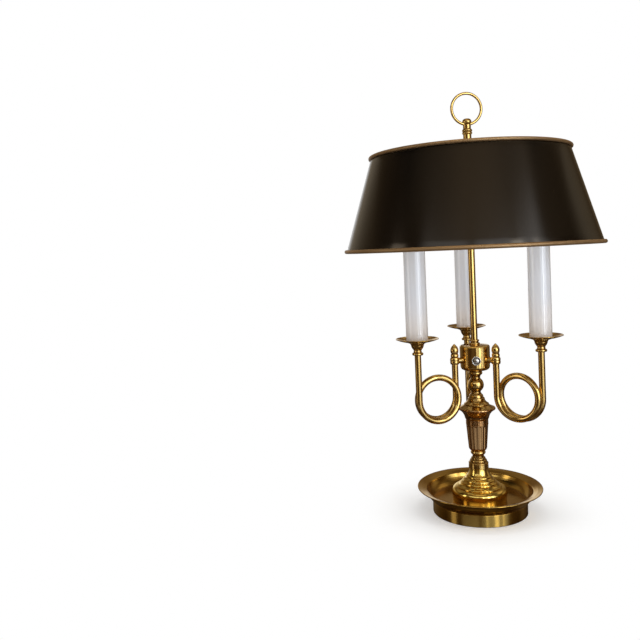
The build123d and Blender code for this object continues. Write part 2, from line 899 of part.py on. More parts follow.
def socket_body():
    cavity = shell_radius + socket_shell_fit
    return turned([
        (0, bracket_top),
        (socket_radius, bracket_top),
        (socket_radius, socket_top),
        (cavity, socket_top),
        (cavity, shell_bottom),
        (0, shell_bottom),
    ])


def socket_shell():
    return tube(shell_radius, shell_bore, shell_bottom, socket_top - socket_shell_inset)


def socket_contact():
    return upright(contact_radius, shell_bottom, shell_bottom + contact_height)


def bulb_base():
    insulator = bulb_bottom + bulb_button_height
    shoulder = insulator + bulb_insulator_rise
    return turned([
        (0, bulb_bottom),
        (bulb_button_radius, bulb_bottom),
        (bulb_button_radius, insulator),
        (bulb_insulator_radius, shoulder),
        (bulb_base_radius, shoulder + bulb_thread_start, bulb_thread_swell),
        (bulb_base_radius, bulb_base_top),
        (0, bulb_base_top),
    ])


def bulb_glass():
    """Torpedo envelope, open where its neck stands in the base."""
    neck_top = bulb_base_top + bulb_neck_height
    belly = neck_top + bulb_shoulder_height
    tip = belly + bulb_taper_height
    end = tip + bulb_tip_height
    wall = bulb_glass_wall
    return turned([
        (bulb_neck_radius - wall, bulb_base_top),
        (bulb_neck_radius, bulb_base_top),
        (bulb_neck_radius, neck_top),
        (bulb_radius, belly, bulb_shoulder_swell),
        (bulb_tip_radius, tip, bulb_taper_swell),
        (0, end, DOME),
        (0, end - wall),
        (bulb_tip_radius - wall, tip, DOME),
        (bulb_radius - wall, belly, -bulb_taper_swell),
        (bulb_neck_radius - wall, neck_top, -bulb_shoulder_swell),
    ])


# Leads inside the arms
def lead_connector():
    end = connector_start + connector_length
    depth = end - lead_end_in_connector
    cap = turned([
        (0, connector_start),
        (connector_radius, connector_start),
        (connector_radius, end),
        (lead_radius, end),
        (lead_radius, depth),
        (0, depth),
    ])
    return Pos(0, 0, nipple_level) * Rot(0, 90, 0) * cap


def arm_lead():
    start = connector_start + connector_length - lead_end_in_connector
    first_run = [(start, 0, nipple_level), (knuckle_reach, 0, nipple_level)]
    route = arm_route(first_run, [lead_bend], bracket_top)
    lead = sweep(Plane(origin=route @ 0, z_dir=route % 0) * Circle(lead_radius), route)
    print("arm lead volume against section times length:",
          lead.volume / (pi * lead_radius ** 2 * route.length))
    return lead


# Shade
hub_middle = hub_bottom + hub_thickness / 2
shade_top = hub_middle + shade_rise_over_hub
shade_bottom = shade_top - shade_height
shade_slope = (shade_bottom_radius - shade_top_radius) / shade_height


def shade_shell():
    return turned([
        (shade_bottom_radius - shade_sheet, shade_bottom),
        (shade_bottom_radius, shade_bottom),
        (shade_top_radius, shade_top),
        (shade_top_radius - shade_sheet, shade_top),
    ])


def shade_bottom_bead():
    """Rolled hem: the lower edge of the shell ends in its middle."""
    ring = Torus(shade_bottom_radius + bottom_bead_proud, bottom_bead_radius)
    return Pos(0, 0, shade_bottom) * ring - shade_shell()


def shade_top_bead():
    ring = Torus(shade_top_radius + top_bead_proud, top_bead_radius)
    return Pos(0, 0, shade_top) * ring - shade_shell()


def shade_spider():
    """Washer that sits on the rod, with three arms that reach the shell."""
    inside = turned([
        (0, shade_bottom),
        (shade_bottom_radius - shade_sheet, shade_bottom),
        (shade_top_radius - shade_sheet, shade_top),
        (0, shade_top),
    ])
    arm_start = (hub_radius + rod_stud_radius) / 2
    arm = Rot(0, 90, 0) * upright(spider_arm_radius, arm_start, shade_bottom_radius)
    arm = (Pos(0, 0, hub_middle) * arm) & inside
    spider = tube(hub_radius, rod_stud_radius + hub_fit, hub_bottom, hub_top)
    for azimuth in spider_azimuths:
        spider += Rot(0, 0, azimuth) * arm
    return spider


# Finial
def finial_ring():
    ring = Rot(90, 0, 0) * Torus(ring_radius, ring_wire_radius)
    return Pos(0, 0, ring_centre) * Rot(0, 0, ring_turn) * ring


def finial_body():
    hole = rod_stud_in_finial + finial_hole_clearance
    hollow = [(0.0, hole), (rod_stud_radius + finial_stud_fit, 0.0)]
    return moulded(finial_foot, finial_foot_radius, finial_mouldings, hollow) - finial_ring()


pieces = {
    "felt_pad": felt_pad(),
    "base_weight": base_weight(),
    "base_band": base_band(),
    "cord_bushing": cord_bushing(),
    "tray": tray(),
    "base_mound": base_mound(),
    "base_skirt": base_skirt(),
    "column_rings": column_rings(),
    "column_vase": column_vase(),
    "stem_spindle": stem_spindle(),
    "threaded_pipe": threaded_pipe(),
    "base_lock_washer": base_lock_washer(),
    "base_hex_nut": base_hex_nut(),
    "cluster_lock_nut": cluster_lock_nut(),
    "cluster_bottom_cup": cluster_bottom_cup(),
    "cluster_drum": cluster_drum(),
    "cluster_top_cap": cluster_top_cap(),
    "centre_rod": centre_rod(),
    "rod_nut": rod_nut(),
    "rod_foot_collar": rod_foot_collar(),
    "rod_rest_collar": rod_rest_collar(),
    "switch_housing": switch_housing(),
    "switch_bushing": switch_bushing(),
    "switch_ring_nut": switch_ring_nut(),
    "switch_plunger": switch_plunger(),
    "shade_shell": shade_shell(),
    "shade_bottom_bead": shade_bottom_bead(),
    "shade_top_bead": shade_top_bead(),
    "shade_spider": shade_spider(),
    "finial_body": finial_body(),
    "finial_ring": finial_ring(),
}

# Pieces of the three arms that have a node each
for name, shapes in {
    "arm_tube": on_arms(arm_tube()),
    "drip_pan": on_candles(drip_pan()),
    "candle_cover": on_candles(candle_cover()),
    "bulb_base": on_candles(bulb_base()),
    "bulb_glass": on_candles(bulb_glass()),
}.items():
    for side, shape in zip(arm_azimuths, shapes):
        pieces[side + "_" + name] = shape

# Small pieces of the arms: one node holds all three
for name, shapes in {
    "arm_nipples": on_arms(Pos(0, 0, nipple_level) * arm_nipple()),
    "arm_knuckles": on_arms(arm_knuckle()),
    "acorn_nuts": on_arms(acorn_nut()),
    "arm_collars": on_candles(arm_collar()),
    "pan_cups": on_candles(pan_cup()),
    "socket_nipples": on_candles(socket_nipple()),
    "bracket_nuts": on_candles(bracket_nut()),
    "socket_brackets": on_candles(socket_bracket()),
    "socket_bodies": on_candles(socket_body()),
    "socket_shells": on_candles(socket_shell()),
    "socket_contacts": on_candles(socket_contact()),
    "lead_connectors": on_arms(lead_connector()),
    "arm_leads": on_arms(arm_lead()),
}.items():
    pieces[name] = Compound(children=shapes)

os.makedirs("parts", exist_ok=True)
for name, piece in pieces.items():
    export_step(piece, f"parts/{name}.step")
print(len(pieces), "nodes")
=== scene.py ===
# %% [markdown]
# # A bouillotte lamp: brass, dark enamel and three candle arms
#
# This lamp is mostly turned and spun brass. A lathe turns an outline about an axis, and so does
# this script: nearly every piece starts as an outline in millimetres, written as the same short
# list of mouldings that a turner would work from. The frame gives the place of each piece, so
# that nothing has to be fitted by eye.

# %% Load the frame
import json
from math import atan, atan2, ceil, cos, pi, radians, sin, sqrt

import bmesh
import bpy
from mathutils import Matrix, Vector


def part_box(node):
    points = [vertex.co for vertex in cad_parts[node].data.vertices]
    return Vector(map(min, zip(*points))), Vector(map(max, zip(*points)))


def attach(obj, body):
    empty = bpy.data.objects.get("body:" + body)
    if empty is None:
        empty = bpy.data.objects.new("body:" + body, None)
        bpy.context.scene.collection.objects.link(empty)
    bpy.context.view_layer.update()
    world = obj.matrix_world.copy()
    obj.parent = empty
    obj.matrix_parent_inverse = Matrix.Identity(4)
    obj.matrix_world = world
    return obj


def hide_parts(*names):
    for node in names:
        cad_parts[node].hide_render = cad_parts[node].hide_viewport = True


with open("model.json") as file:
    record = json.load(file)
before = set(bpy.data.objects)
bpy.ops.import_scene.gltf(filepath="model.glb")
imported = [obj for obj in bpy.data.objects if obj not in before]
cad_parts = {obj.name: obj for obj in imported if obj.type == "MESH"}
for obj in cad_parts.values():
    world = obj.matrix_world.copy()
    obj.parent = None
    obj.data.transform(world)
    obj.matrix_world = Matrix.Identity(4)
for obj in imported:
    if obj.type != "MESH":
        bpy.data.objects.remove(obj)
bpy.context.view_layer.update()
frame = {"nodes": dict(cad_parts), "record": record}
MM = 0.001


def foot_of(node):
    """Height of a node's lowest point, in millimetres."""
    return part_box(node)[0].z / MM


def top_of(node):
    """Height of a node's highest point, in millimetres."""
    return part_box(node)[1].z / MM


def level_of(node):
    """Height of a node's middle, in millimetres."""
    return (foot_of(node) + top_of(node)) / 2


def radius_of(node):
    """Half the width of a node that is turned about the lamp's own axis, in millimetres."""
    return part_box(node)[1].x / MM


def front_and_back(node):
    """How far a node's ends stand in front of the lamp's axis, in millimetres."""
    return [-corner.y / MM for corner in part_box(node)]


def new_object(name, data):
    """Object that shows some data in the scene."""
    made = bpy.data.objects.new(name, data)
    bpy.context.scene.collection.objects.link(made)
    return made


# %% [markdown]
# ## The camera
# The camera stands a little left of the lamp, level with the lower edge of the shade. It is
# rolled by two and a half degrees, as a camera held by hand is. It is turned to the left, so that
# the lamp stands at the right of the frame, and its lens is shifted a little, mostly downwards.

# %% Place the camera
camera_place = Vector((-0.0899, -1.1485, 0.4246))
camera_pan = radians(-8.224)
camera_tilt = radians(-2.529)
camera_roll = radians(2.545)
camera_lens = 40.317
camera_shift = (0.0143, -0.0586)

level_look = Vector((sin(camera_pan), cos(camera_pan), 0))
looking = level_look * cos(camera_tilt) + Vector((0, 0, sin(camera_tilt)))
level_right = Vector((cos(camera_pan), -sin(camera_pan), 0))
level_up = level_right.cross(looking)
right = level_right * cos(camera_roll) - level_up * sin(camera_roll)
up = level_right * sin(camera_roll) + level_up * cos(camera_roll)
camera_data = bpy.data.cameras.new("camera")
camera_data.lens = camera_lens
camera_data.shift_x, camera_data.shift_y = camera_shift
camera = new_object("camera", camera_data)
camera_turn = Matrix((right, up, -looking)).transposed().to_4x4()
camera.matrix_world = Matrix.Translation(camera_place) @ camera_turn
bpy.context.scene.camera = camera
bpy.context.scene.view_settings.view_transform = "Standard"
print("camera:", camera_lens, "mm lens,", round(camera_place.length, 2), "m from the lamp's foot")

# %% [markdown]
# ## Shader maths as plain expressions
# A material is a graph of nodes. Writing each Math node by hand hides what the graph works out,
# so a small class wraps an output socket: adding or multiplying two wires adds the Math node.
# Any other node comes from one method, which sets the node up before it fills its sockets.

# %% Wires
class Wire:
    """One output socket of a node tree, or the start of an empty tree."""

    def __init__(self, tree, socket=None):
        self.tree = tree
        self.socket = socket

    def node(self, kind, settings, sockets, output=0):
        """Add a node and return one of its outputs. A colour is red, green and blue from 0 to 1."""
        made = self.tree.nodes.new(kind)
        for name, value in settings.items():
            if name == "stops":
                ramp = made.color_ramp.elements
                while len(ramp) < len(value):
                    ramp.new(1.0)
                for stop, (position, colour) in zip(ramp, value):
                    stop.position = position
                    stop.color = (*colour, 1.0)
            else:
                setattr(made, name, value)
        for name, value in sockets.items():
            if isinstance(value, Wire):
                self.tree.links.new(value.socket, made.inputs[name])
            elif made.inputs[name].type == "RGBA":
                made.inputs[name].default_value = (*value, 1.0)
            else:
                made.inputs[name].default_value = value
        return Wire(self.tree, made.outputs[output] if len(made.outputs) else None)

    def output(self, name):
        """Another output of the same node."""
        return Wire(self.tree, self.socket.node.outputs[name])

    def maths(self, operation, *others):
        terms = dict(enumerate((self,) + others))
        return self.node("ShaderNodeMath", {"operation": operation}, terms)

    def __add__(self, other):
        return self.maths("ADD", other)

    def __sub__(self, other):
        return self.maths("SUBTRACT", other)

    def __rsub__(self, other):
        return (self * -1.0) + other

    def __mul__(self, other):
        return self.maths("MULTIPLY", other)

    def __truediv__(self, other):
        return self.maths("DIVIDE", other)

    __radd__ = __add__
    __rmul__ = __mul__

    def clipped(self):
        """Held between 0 and 1."""
        return self.maths("MAXIMUM", 0.0).maths("MINIMUM", 1.0)

    def between(self, low, high):
        """0 below low, 1 above high, and smooth in between."""
        return self.node("ShaderNodeMapRange", {"interpolation_type": "SMOOTHSTEP"},
                         {"Value": self, "From Min": low, "From Max": high})


# A Mix node keeps its sockets for colours under these numbers.
MIX_FIRST, MIX_SECOND, MIX_RESULT = 6, 7, 2


def mixed(mask, first, second):
    """Colour that goes from first to second as mask goes from 0 to 1."""
    return mask.node("ShaderNodeMix", {"data_type": "RGBA"},
                     {"Factor": mask, MIX_FIRST: first, MIX_SECOND: second}, MIX_RESULT)


def light_path(start):
    """Wires that are 1 for what the camera sees, and for what metal and glass see."""
    path = start.node("ShaderNodeLightPath", {}, {})
    mirrored = (path.output("Is Glossy Ray") + path.output("Is Transmission Ray")).clipped()
    return path.output("Is Camera Ray"), mirrored


# %% Start a material
finishes = {}


def new_material(name):
    """Start an empty material under its name, with the Object coordinates that its pattern follows."""
    finishes[name] = bpy.data.materials.new(name)
    finishes[name].use_nodes = True
    finishes[name].node_tree.nodes.clear()
    start = Wire(finishes[name].node_tree)
    return start, start.node("ShaderNodeTexCoord", {}, {}, "Object")


# %% [markdown]
# ## The studio
# The lamp stands on a pale paper sweep in a studio. The camera sees white all round. Metal and
# glass see the same white where the sweep rises behind the lamp. Elsewhere they see a dim room:
# walls with bright windows, warm lamplight above them, a dark cove and a pale ceiling, because
# polished brass is only as lively as what it mirrors. An environment image could do this, but a
# few colour ramps need no file, and one number moves a window. The light that falls on the lamp
# is plain, so that pale surfaces don't clip.

# %% The room that metal mirrors
white = (1.0, 1.0, 1.0)
ceiling_colour = (0.85, 0.68, 0.42)
cove_colour = (0.13, 0.095, 0.055)
# Each edge is where a change starts and where it ends: for the sweep as the cosine of the angle
# from straight ahead, and for the others as the sine of the angle above the horizon.
sweep_edge = (0.93, 0.985)
window_sill = (0.34, 0.38)
window_head = (0.50, 0.53)
cove_edge = (0.71, 0.77)
ceiling_edge = (0.86, 0.98)
# Powers that take green and blue out of dim daylight, and what lamplight has of them.
green_fall, blue_fall = 1.20, 1.55
lamp_green, lamp_blue = 0.80, 0.56
# Walls are levels at azimuths all round, in degrees. Azimuth 0 is behind the camera.
room_walls = [
    (-180, 0.34), (-150, 0.40), (-124, 0.20), (-104, 0.08), (-88, 0.34), (-72, 0.28), (-58, 0.09),
    (-40, 0.08), (-26, 0.24), (-12, 0.16), (-3, 0.20), (6, 1.45), (20, 1.75), (30, 1.25), (36, 1.55),
    (52, 1.75), (60, 0.34), (72, 0.08), (90, 0.07), (106, 0.36), (118, 0.26), (136, 0.07), (158, 0.22),
    (180, 0.34),
]
high_windows = [
    (-180, 0.14), (-130, 0.12), (-100, 0.05), (-62, 0.10), (-52, 1.3), (-18, 1.5), (-12, 0.4), (-7, 1.6),
    (22, 1.7), (27, 0.5), (32, 1.6), (50, 1.6), (58, 0.2), (90, 0.10), (130, 0.2), (180, 0.14),
]
upper_walls = [
    (-180, 0.20), (-150, 0.22), (-128, 0.24), (-112, 0.03), (-86, 0.01), (-70, 0.16), (-40, 0.34),
    (-18, 0.56), (8, 0.58), (34, 0.36), (56, 0.42), (70, 0.10), (84, 0.12), (100, 0.50), (124, 0.55),
    (150, 0.25), (180, 0.20),
]


def daylit(level):
    """Colour of a wall: bright ones are nearly white, and dim ones reddish brown."""
    return [level, level ** green_fall, level ** blue_fall]


def lamplit(level):
    """Colour of the upper walls, which only get the warm light of the room's own lamps."""
    return [level, lamp_green * level, lamp_blue * level]


def dot(start, vector, axis):
    """How far a vector reaches along an axis."""
    return start.node("ShaderNodeVectorMath", {"operation": "DOT_PRODUCT"}, {0: vector, 1: axis}, "Value")


def wall_ramp(start, turn, levels, light):
    """Colour of a wall all round, from its levels and the light that falls on it."""
    stops = [(azimuth / 360 + 0.5, light(level)) for azimuth, level in levels]
    return start.node("ShaderNodeValToRGB", {"stops": stops}, {"Fac": turn})


def mirrored_room(start, direction):
    """Colour of the studio in a direction. Azimuth grows to the right, seen from the camera."""
    ahead = dot(start, direction, level_look)
    aside = dot(start, direction, level_right)
    turn = aside.maths("ARCTAN2", ahead * -1.0) / (2 * pi) + 0.5
    rise = dot(start, direction, (0.0, 0.0, 1.0))
    room = wall_ramp(start, turn, room_walls, daylit)
    for edge, above in [
        (window_sill, wall_ramp(start, turn, high_windows, daylit)),
        (window_head, wall_ramp(start, turn, upper_walls, lamplit)),
        (cove_edge, cove_colour),
        (ceiling_edge, ceiling_colour),
    ]:
        room = mixed(rise.between(*edge), room, above)
    return mixed(ahead.between(*sweep_edge), room, white)


print("room:", len(room_walls), "stretches of wall")

# %% Light of the studio
dome_level = 0.54     # what the white dome gives the lamp; where it is seen, its strength is 1
world = bpy.data.worlds.new("studio")
world.use_nodes = True
world.node_tree.nodes.clear()
sky = Wire(world.node_tree)
camera_ray, gloss_ray = light_path(sky)
direction = sky.node("ShaderNodeTexCoord", {}, {}, "Generated")
seen = (camera_ray + gloss_ray).clipped()
background = sky.node("ShaderNodeBackground", {}, {
    "Color": mixed(gloss_ray, white, mirrored_room(sky, direction)),
    "Strength": seen * (1.0 - dome_level) + dome_level,
})
sky.node("ShaderNodeOutputWorld", {}, {"Surface": background})
bpy.context.scene.world = world
camera_azimuth = atan2(-level_look.y, -level_look.x)
aimed_at = Vector((0, 0, 0.3))


def softbox(name, azimuth, distance, middle, width, height, radiance, colour, mirrored):
    """Area light that faces the lamp. Azimuth is counted from the camera, to the right."""
    data = bpy.data.lights.new(name, "AREA")
    data.shape = "RECTANGLE"
    data.size = width
    data.size_y = height
    data.color = colour
    data.energy = radiance * pi * width * height
    lamp = new_object(name, data)
    turn = camera_azimuth + radians(azimuth)
    place = Vector((distance * cos(turn), distance * sin(turn), middle))
    aim = aimed_at - place
    lamp.matrix_world = Matrix.Translation(place) @ aim.to_track_quat("-Z", "Y").to_matrix().to_4x4()
    lamp.visible_glossy = mirrored


softboxes = [
    # name, azimuth, distance, height of its middle, width, height, radiance, colour, mirrored
    ("key_window", 26, 1.9, 0.60, 0.30, 1.3, 5.0, (0.92, 0.97, 1.0), True),
    ("second_window", 3, 2.1, 0.60, 0.14, 1.3, 3.2, (0.86, 0.95, 1.0), True),
    ("third_window", 43, 1.9, 0.60, 0.12, 1.3, 3.0, (0.95, 0.97, 1.0), True),
    ("left_window", -78, 1.8, 0.60, 0.40, 1.1, 1.8, (1.0, 0.95, 0.88), True),
    ("front_panel", 34, 1.5, 1.7, 0.6, 0.6, 2.6, (1.0, 0.96, 0.90), False),
    ("ceiling_light", -10, 0.4, 2.2, 1.0, 1.0, 4.6, (1.0, 1.0, 1.0), False),
]
for light in softboxes:
    softbox(*light)
print("area lights:", [light[0] for light in softboxes])

# %% Paper floor
# Metal mirrors a dark polished table instead of the paper: white paper would wash the brass out.
floor_size = 12.0
paper_colour = (0.86, 0.86, 0.86)
table_colour = (0.050, 0.028, 0.016)
floor_lift = 0.34     # the paper's own glow, which makes the lamp's shadow paler
fade_start, fade_end = 0.09, 0.21     # metres from the lamp's axis where paper turns to pure white
bpy.ops.mesh.primitive_plane_add(size=floor_size)
floor = bpy.context.object
floor.name = "floor"
start, place = new_material("pale_paper")
camera_ray, gloss_ray = light_path(start)
away = start.node("ShaderNodeVectorMath", {"operation": "LENGTH"}, {0: place}, "Value")
paint = start.node("ShaderNodeBsdfPrincipled", {}, {"Base Color": paper_colour, "Roughness": 0.6})
lift = start.node("ShaderNodeEmission", {}, {"Color": white, "Strength": camera_ray * floor_lift})
paper = start.node("ShaderNodeAddShader", {}, {0: paint, 1: lift})
glow = start.node("ShaderNodeEmission", {}, {"Color": white, "Strength": 1.0})
faded = away.between(fade_start, fade_end) * camera_ray
sweep = start.node("ShaderNodeMixShader", {}, {0: faded, 1: paper, 2: glow})
table = start.node("ShaderNodeBsdfPrincipled", {},
                   {"Base Color": table_colour, "Roughness": 0.05, "IOR": 2.3})
blend = start.node("ShaderNodeMixShader", {}, {0: gloss_ray, 1: sweep, 2: table})
start.node("ShaderNodeOutputMaterial", {}, {"Surface": blend})
floor.data.materials.append(finishes["pale_paper"])
print("floor:", floor_size, "m")

# %% [markdown]
# ## Finishes
# A finish that comes in several colours is a short function. Brass is never one colour: polish
# stays bright on the beads, and the coves are darker, partly from tarnish where a cloth doesn't
# reach and partly as painted shade. Painted masks could say where, but the lathe below knows its
# outlines, so the turned meshes carry two attributes. One says how deep in a recess a point lies,
# and the other how far it is along the outline, which places the fine rings that a turning tool leaves.

# %% Nodes that the finishes share
def close_material(start, sockets):
    """Give a material its shader, with what its sockets get."""
    shader = start.node("ShaderNodeBsdfPrincipled", {}, sockets)
    start.node("ShaderNodeOutputMaterial", {}, {"Surface": shader})


def noise(start, place, scale, detail=3.0, roughness=0.5):
    """Cloudy pattern from 0 to 1, with this many clouds to the metre."""
    return start.node("ShaderNodeTexNoise", {},
                      {"Vector": place, "Scale": scale, "Detail": detail, "Roughness": roughness})


def bumped(start, height, distance, strength):
    """Normal that makes a height pattern look raised, by a distance in metres."""
    return start.node("ShaderNodeBump", {}, {"Height": height, "Distance": distance, "Strength": strength})


# %% Brass
def brass(name, bright, patina_and_shade_colour, gloss, darkening=1.0):
    """Polished brass, darker in its recesses partly from patina and partly as painted shade, with a soft
    cloud of handling marks and tool rings.
    """
    start, place = new_material(name)
    recess, run = [start.node("ShaderNodeAttribute", {"attribute_name": layer}, {}, "Fac")
                   for layer in ("recess", "run")]
    clouds = noise(start, place, 26.0, 3.0, 0.55)      # where hands have been
    mottle = noise(start, place, 260.0, 3.0, 0.55)     # fine unevenness of old polish
    # painted shade: recesses darken as coves in shadow would, mixed with real patina and handling marks
    patina_and_painted_shade = (recess * 1.1 + (clouds - 0.5) * 0.5 + (mottle - 0.5) * 0.04 + 0.06).clipped() * darkening
    colour = mixed(patina_and_painted_shade, bright, patina_and_shade_colour)
    rings = start.node("ShaderNodeTexNoise", {"noise_dimensions": "1D"}, {"W": run * 3200.0, "Detail": 2.0})
    height = rings * 0.02 + mottle * 0.05
    roughness = patina_and_painted_shade * 0.12 + gloss
    close_material(start, {
        "Base Color": colour, "Metallic": 1.0, "Roughness": roughness,
        "Normal": bumped(start, height, 0.00004, 0.3),
    })


brass("polished_brass", (0.68, 0.445, 0.14), (0.24, 0.12, 0.028), gloss=0.11)
# Lighter brass for the two lowest pieces: partly polish from dusting, and partly painted light for the
# bright reflections they catch.
brass("rubbed_and_lit_brass", (0.88, 0.62, 0.16), (0.40, 0.22, 0.045), gloss=0.10, darkening=0.4)
brass("spun_brass", (0.62, 0.38, 0.085), (0.26, 0.14, 0.028), gloss=0.15)
brass("browned_brass", (0.56, 0.32, 0.13), (0.19, 0.08, 0.026), gloss=0.09)
print("brass:", [name for name in finishes if "brass" in name])

# %% Antique gold of the shade's rims
# Dull gilt paint, a little coppery, with small worn spots.
start, place = new_material("antique_gold")
clouds = noise(start, place, 45.0, 4.0, 0.6)
specks = noise(start, place, 900.0, 2.0, 0.6)
worn = ((clouds - 0.45) * 1.2 + (specks - 0.5) * 0.8).clipped()
close_material(start, {
    "Base Color": mixed(worn, (0.46, 0.29, 0.14), (0.25, 0.14, 0.06)),
    "Metallic": 0.85, "Roughness": specks * 0.2 + 0.34, "Normal": bumped(start, specks, 0.00005, 0.4),
})


# %% Enamel outside and inside the shade
def enamel(name, colour, faded, gloss, mirror, tint=white):
    """Sprayed paint: a faint orange peel, and a slow change of gloss over the sheet."""
    start, place = new_material(name)
    clouds = noise(start, place, 9.0, 3.0, 0.5)        # drift of the spray
    peel = noise(start, place, 520.0, 2.0, 0.5)        # orange peel
    close_material(start, {
        "Base Color": mixed(clouds, colour, faded), "Roughness": (clouds - 0.5) * 0.08 + gloss,
        "Specular IOR Level": mirror, "Specular Tint": tint, "Normal": bumped(start, peel, 0.00004, 0.35),
    })


enamel("shade_enamel", (0.0040, 0.0029, 0.0019), (0.0056, 0.0040, 0.0026),
       gloss=0.17, mirror=0.48, tint=(1.0, 0.84, 0.66))
enamel("lining_enamel", (0.78, 0.73, 0.63), (0.72, 0.66, 0.55), gloss=0.45, mirror=0.5)
print("enamels:", [name for name in finishes if "enamel" in name])


# %% Plastics
def moulded_plastic(name, colour, aged_and_lit_colour, gloss, low=0.0, high=0.1, coat=0.0):
    """Moulded plastic with uneven ageing, and painted light that makes it warmer below a height than above
    it, in metres.
    """
    start, place = new_material(name)
    height = start.node("ShaderNodeSeparateXYZ", {}, {"Vector": place}, "Z")
    clouds = noise(start, place, 24.0, 3.0, 0.5)       # uneven ageing
    grain = noise(start, place, 1400.0, 2.0, 0.5)      # grain of the mould
    # painted light: a warm tint low down, mixed with uneven ageing
    ageing_and_painted_light = ((1.0 - height.between(low, high)) * 0.8 + (clouds - 0.5) * 0.5).clipped()
    close_material(start, {
        "Base Color": mixed(ageing_and_painted_light, colour, aged_and_lit_colour), "Roughness": clouds * 0.10 + gloss,
        "Coat Weight": coat, "Normal": bumped(start, grain, 0.00002, 0.3),
    })


# The candle sleeves are bluish above and warm below, which is painted light.
moulded_plastic("candle_plastic", (0.80, 0.81, 0.86), (0.86, 0.78, 0.72), 0.07,
                low=0.285, high=0.36, coat=1.0)
moulded_plastic("black_plastic", (0.025, 0.025, 0.027), (0.035, 0.03, 0.028), 0.40)
moulded_plastic("bushing_plastic", (0.06, 0.035, 0.02), (0.075, 0.045, 0.025), 0.38)
moulded_plastic("connector_plastic", (0.72, 0.72, 0.68), (0.68, 0.64, 0.55), 0.45)
moulded_plastic("lead_insulation", (0.30, 0.19, 0.10), (0.25, 0.15, 0.08), 0.5)
print("plastics:", [name for name in finishes if "plastic" in name], "and lead_insulation")


# %% Plated parts
def plated(name, bright, dull, gloss):
    """Thin plating: bright metal with cloudy dull patches."""
    start, place = new_material(name)
    clouds = noise(start, place, 120.0, 4.0, 0.6)      # dull patches
    specks = noise(start, place, 1200.0, 2.0, 0.5)     # fine pits
    close_material(start, {
        "Base Color": mixed(clouds, bright, dull), "Metallic": 1.0,
        "Roughness": clouds * 0.15 + gloss, "Normal": bumped(start, specks, 0.00002, 0.3),
    })


# Dark nickel for the switch's bushing paints the shade in the gap round the plunger.
plated("painted_shade_nickel", (0.20, 0.185, 0.17), (0.10, 0.09, 0.08), 0.22)
plated("nickel", (0.74, 0.71, 0.65), (0.55, 0.52, 0.46), 0.10)
plated("zinc_steel", (0.62, 0.62, 0.60), (0.45, 0.44, 0.40), 0.30)
plated("socket_brass", (0.72, 0.55, 0.27), (0.55, 0.40, 0.18), 0.22)

# %% Cast iron, felt and frosted glass
# Sand-cast iron keeps the grain of the sand, and dust lies on it.
start, place = new_material("cast_iron")
grains = noise(start, place, 420.0, 5.0, 0.7)
close_material(start, {
    "Base Color": mixed(grains, (0.035, 0.034, 0.033), (0.10, 0.09, 0.08)),
    "Metallic": 0.6, "Roughness": grains * 0.3 + 0.5, "Normal": bumped(start, grains, 0.0004, 0.7),
})

# Felt is pressed wool: short fibres in all directions, and a pile with no shine.
start, place = new_material("green_felt")
fibres = noise(start, place, 1600.0, 6.0, 0.75)
clouds = noise(start, place, 60.0, 3.0, 0.5)
pressed = ((fibres - 0.5) * 1.4 + clouds).clipped()
close_material(start, {
    "Base Color": mixed(pressed, (0.030, 0.075, 0.040), (0.070, 0.140, 0.080)),
    "Roughness": 0.95, "Sheen Weight": 0.3, "Normal": bumped(start, fibres, 0.0004, 0.8),
})

# The bulbs' glass is frosted with acid, and only lets soft light through.
start, place = new_material("frosted_glass")
frost = noise(start, place, 700.0, 3.0, 0.6)
close_material(start, {
    "Base Color": mixed(frost, (0.90, 0.90, 0.88), (0.82, 0.82, 0.80)),
    "Roughness": frost * 0.12 + 0.36, "Transmission Weight": 0.35, "IOR": 1.5,
    "Normal": bumped(start, frost, 0.00003, 0.3),
})
print("materials:", len(finishes))

# %% [markdown]
# ## The lathe
# Blender's Screw modifier turns a curve as well, but a lathe of our own knows where each point
# lies on the outline, and the finishes need that. An outline runs up the outside of a piece and
# down its inside. Each corner is (radius, height) or (radius, height, swell), where swell bulges
# the stretch that ends there out of the metal, by this much, or into it where it is less than 0.
# Real edges are never dead sharp, so every corner is eased by a small arc, and it is this arc
# that catches the light. Long flats get a point close to each end, which keeps their shading flat.

# %% Draw an outline
DOME = "dome"            # a swell that ends square to the axis, as a dome does
ARC_STEP = radians(7)
CORNER = radians(14)     # a smaller turn than this isn't eased
EASE_STEPS = 3
EASE_SHARE = 0.45        # of the shorter side, so that two eased corners never meet
ON_AXIS = 1e-6


def arc(start, end, swell):
    """Points of an arc after its start, up to its end."""
    if swell == DOME:
        rim = max(start.x, end.x)
        rise = abs(end.y - start.y)
        ball = (rim ** 2 + rise ** 2) / (2 * rise)
        centre = Vector((0, max(start.y, end.y) - ball))
        first = atan2(start.y - centre.y, start.x)
        angle = atan2(end.y - centre.y, end.x) - first
    else:
        chord = end - start
        outward = Vector((chord.y, -chord.x)).normalized()
        angle = 4 * atan(2 * swell / chord.length)
        ball = chord.length / 2 / sin(angle / 2)
        centre = (start + end) / 2 + outward * (swell - ball)
        ball = abs(ball)
        first = atan2(start.y - centre.y, start.x - centre.x)
    steps = max(2, ceil(abs(angle) / ARC_STEP))
    turns = [first + angle * step / steps for step in range(1, steps)]
    return [centre + ball * Vector((cos(turn), sin(turn))) for turn in turns] + [end]


def drawn(outline):
    """All points of a closed outline, its arcs included."""
    points = []
    for before, corner in zip(outline[-1:] + outline[:-1], outline):
        end = Vector(corner[:2])
        if len(corner) == 3 and corner[2] != 0.0:
            points += arc(Vector(before[:2]), end, corner[2])
        else:
            points.append(end)
    return points


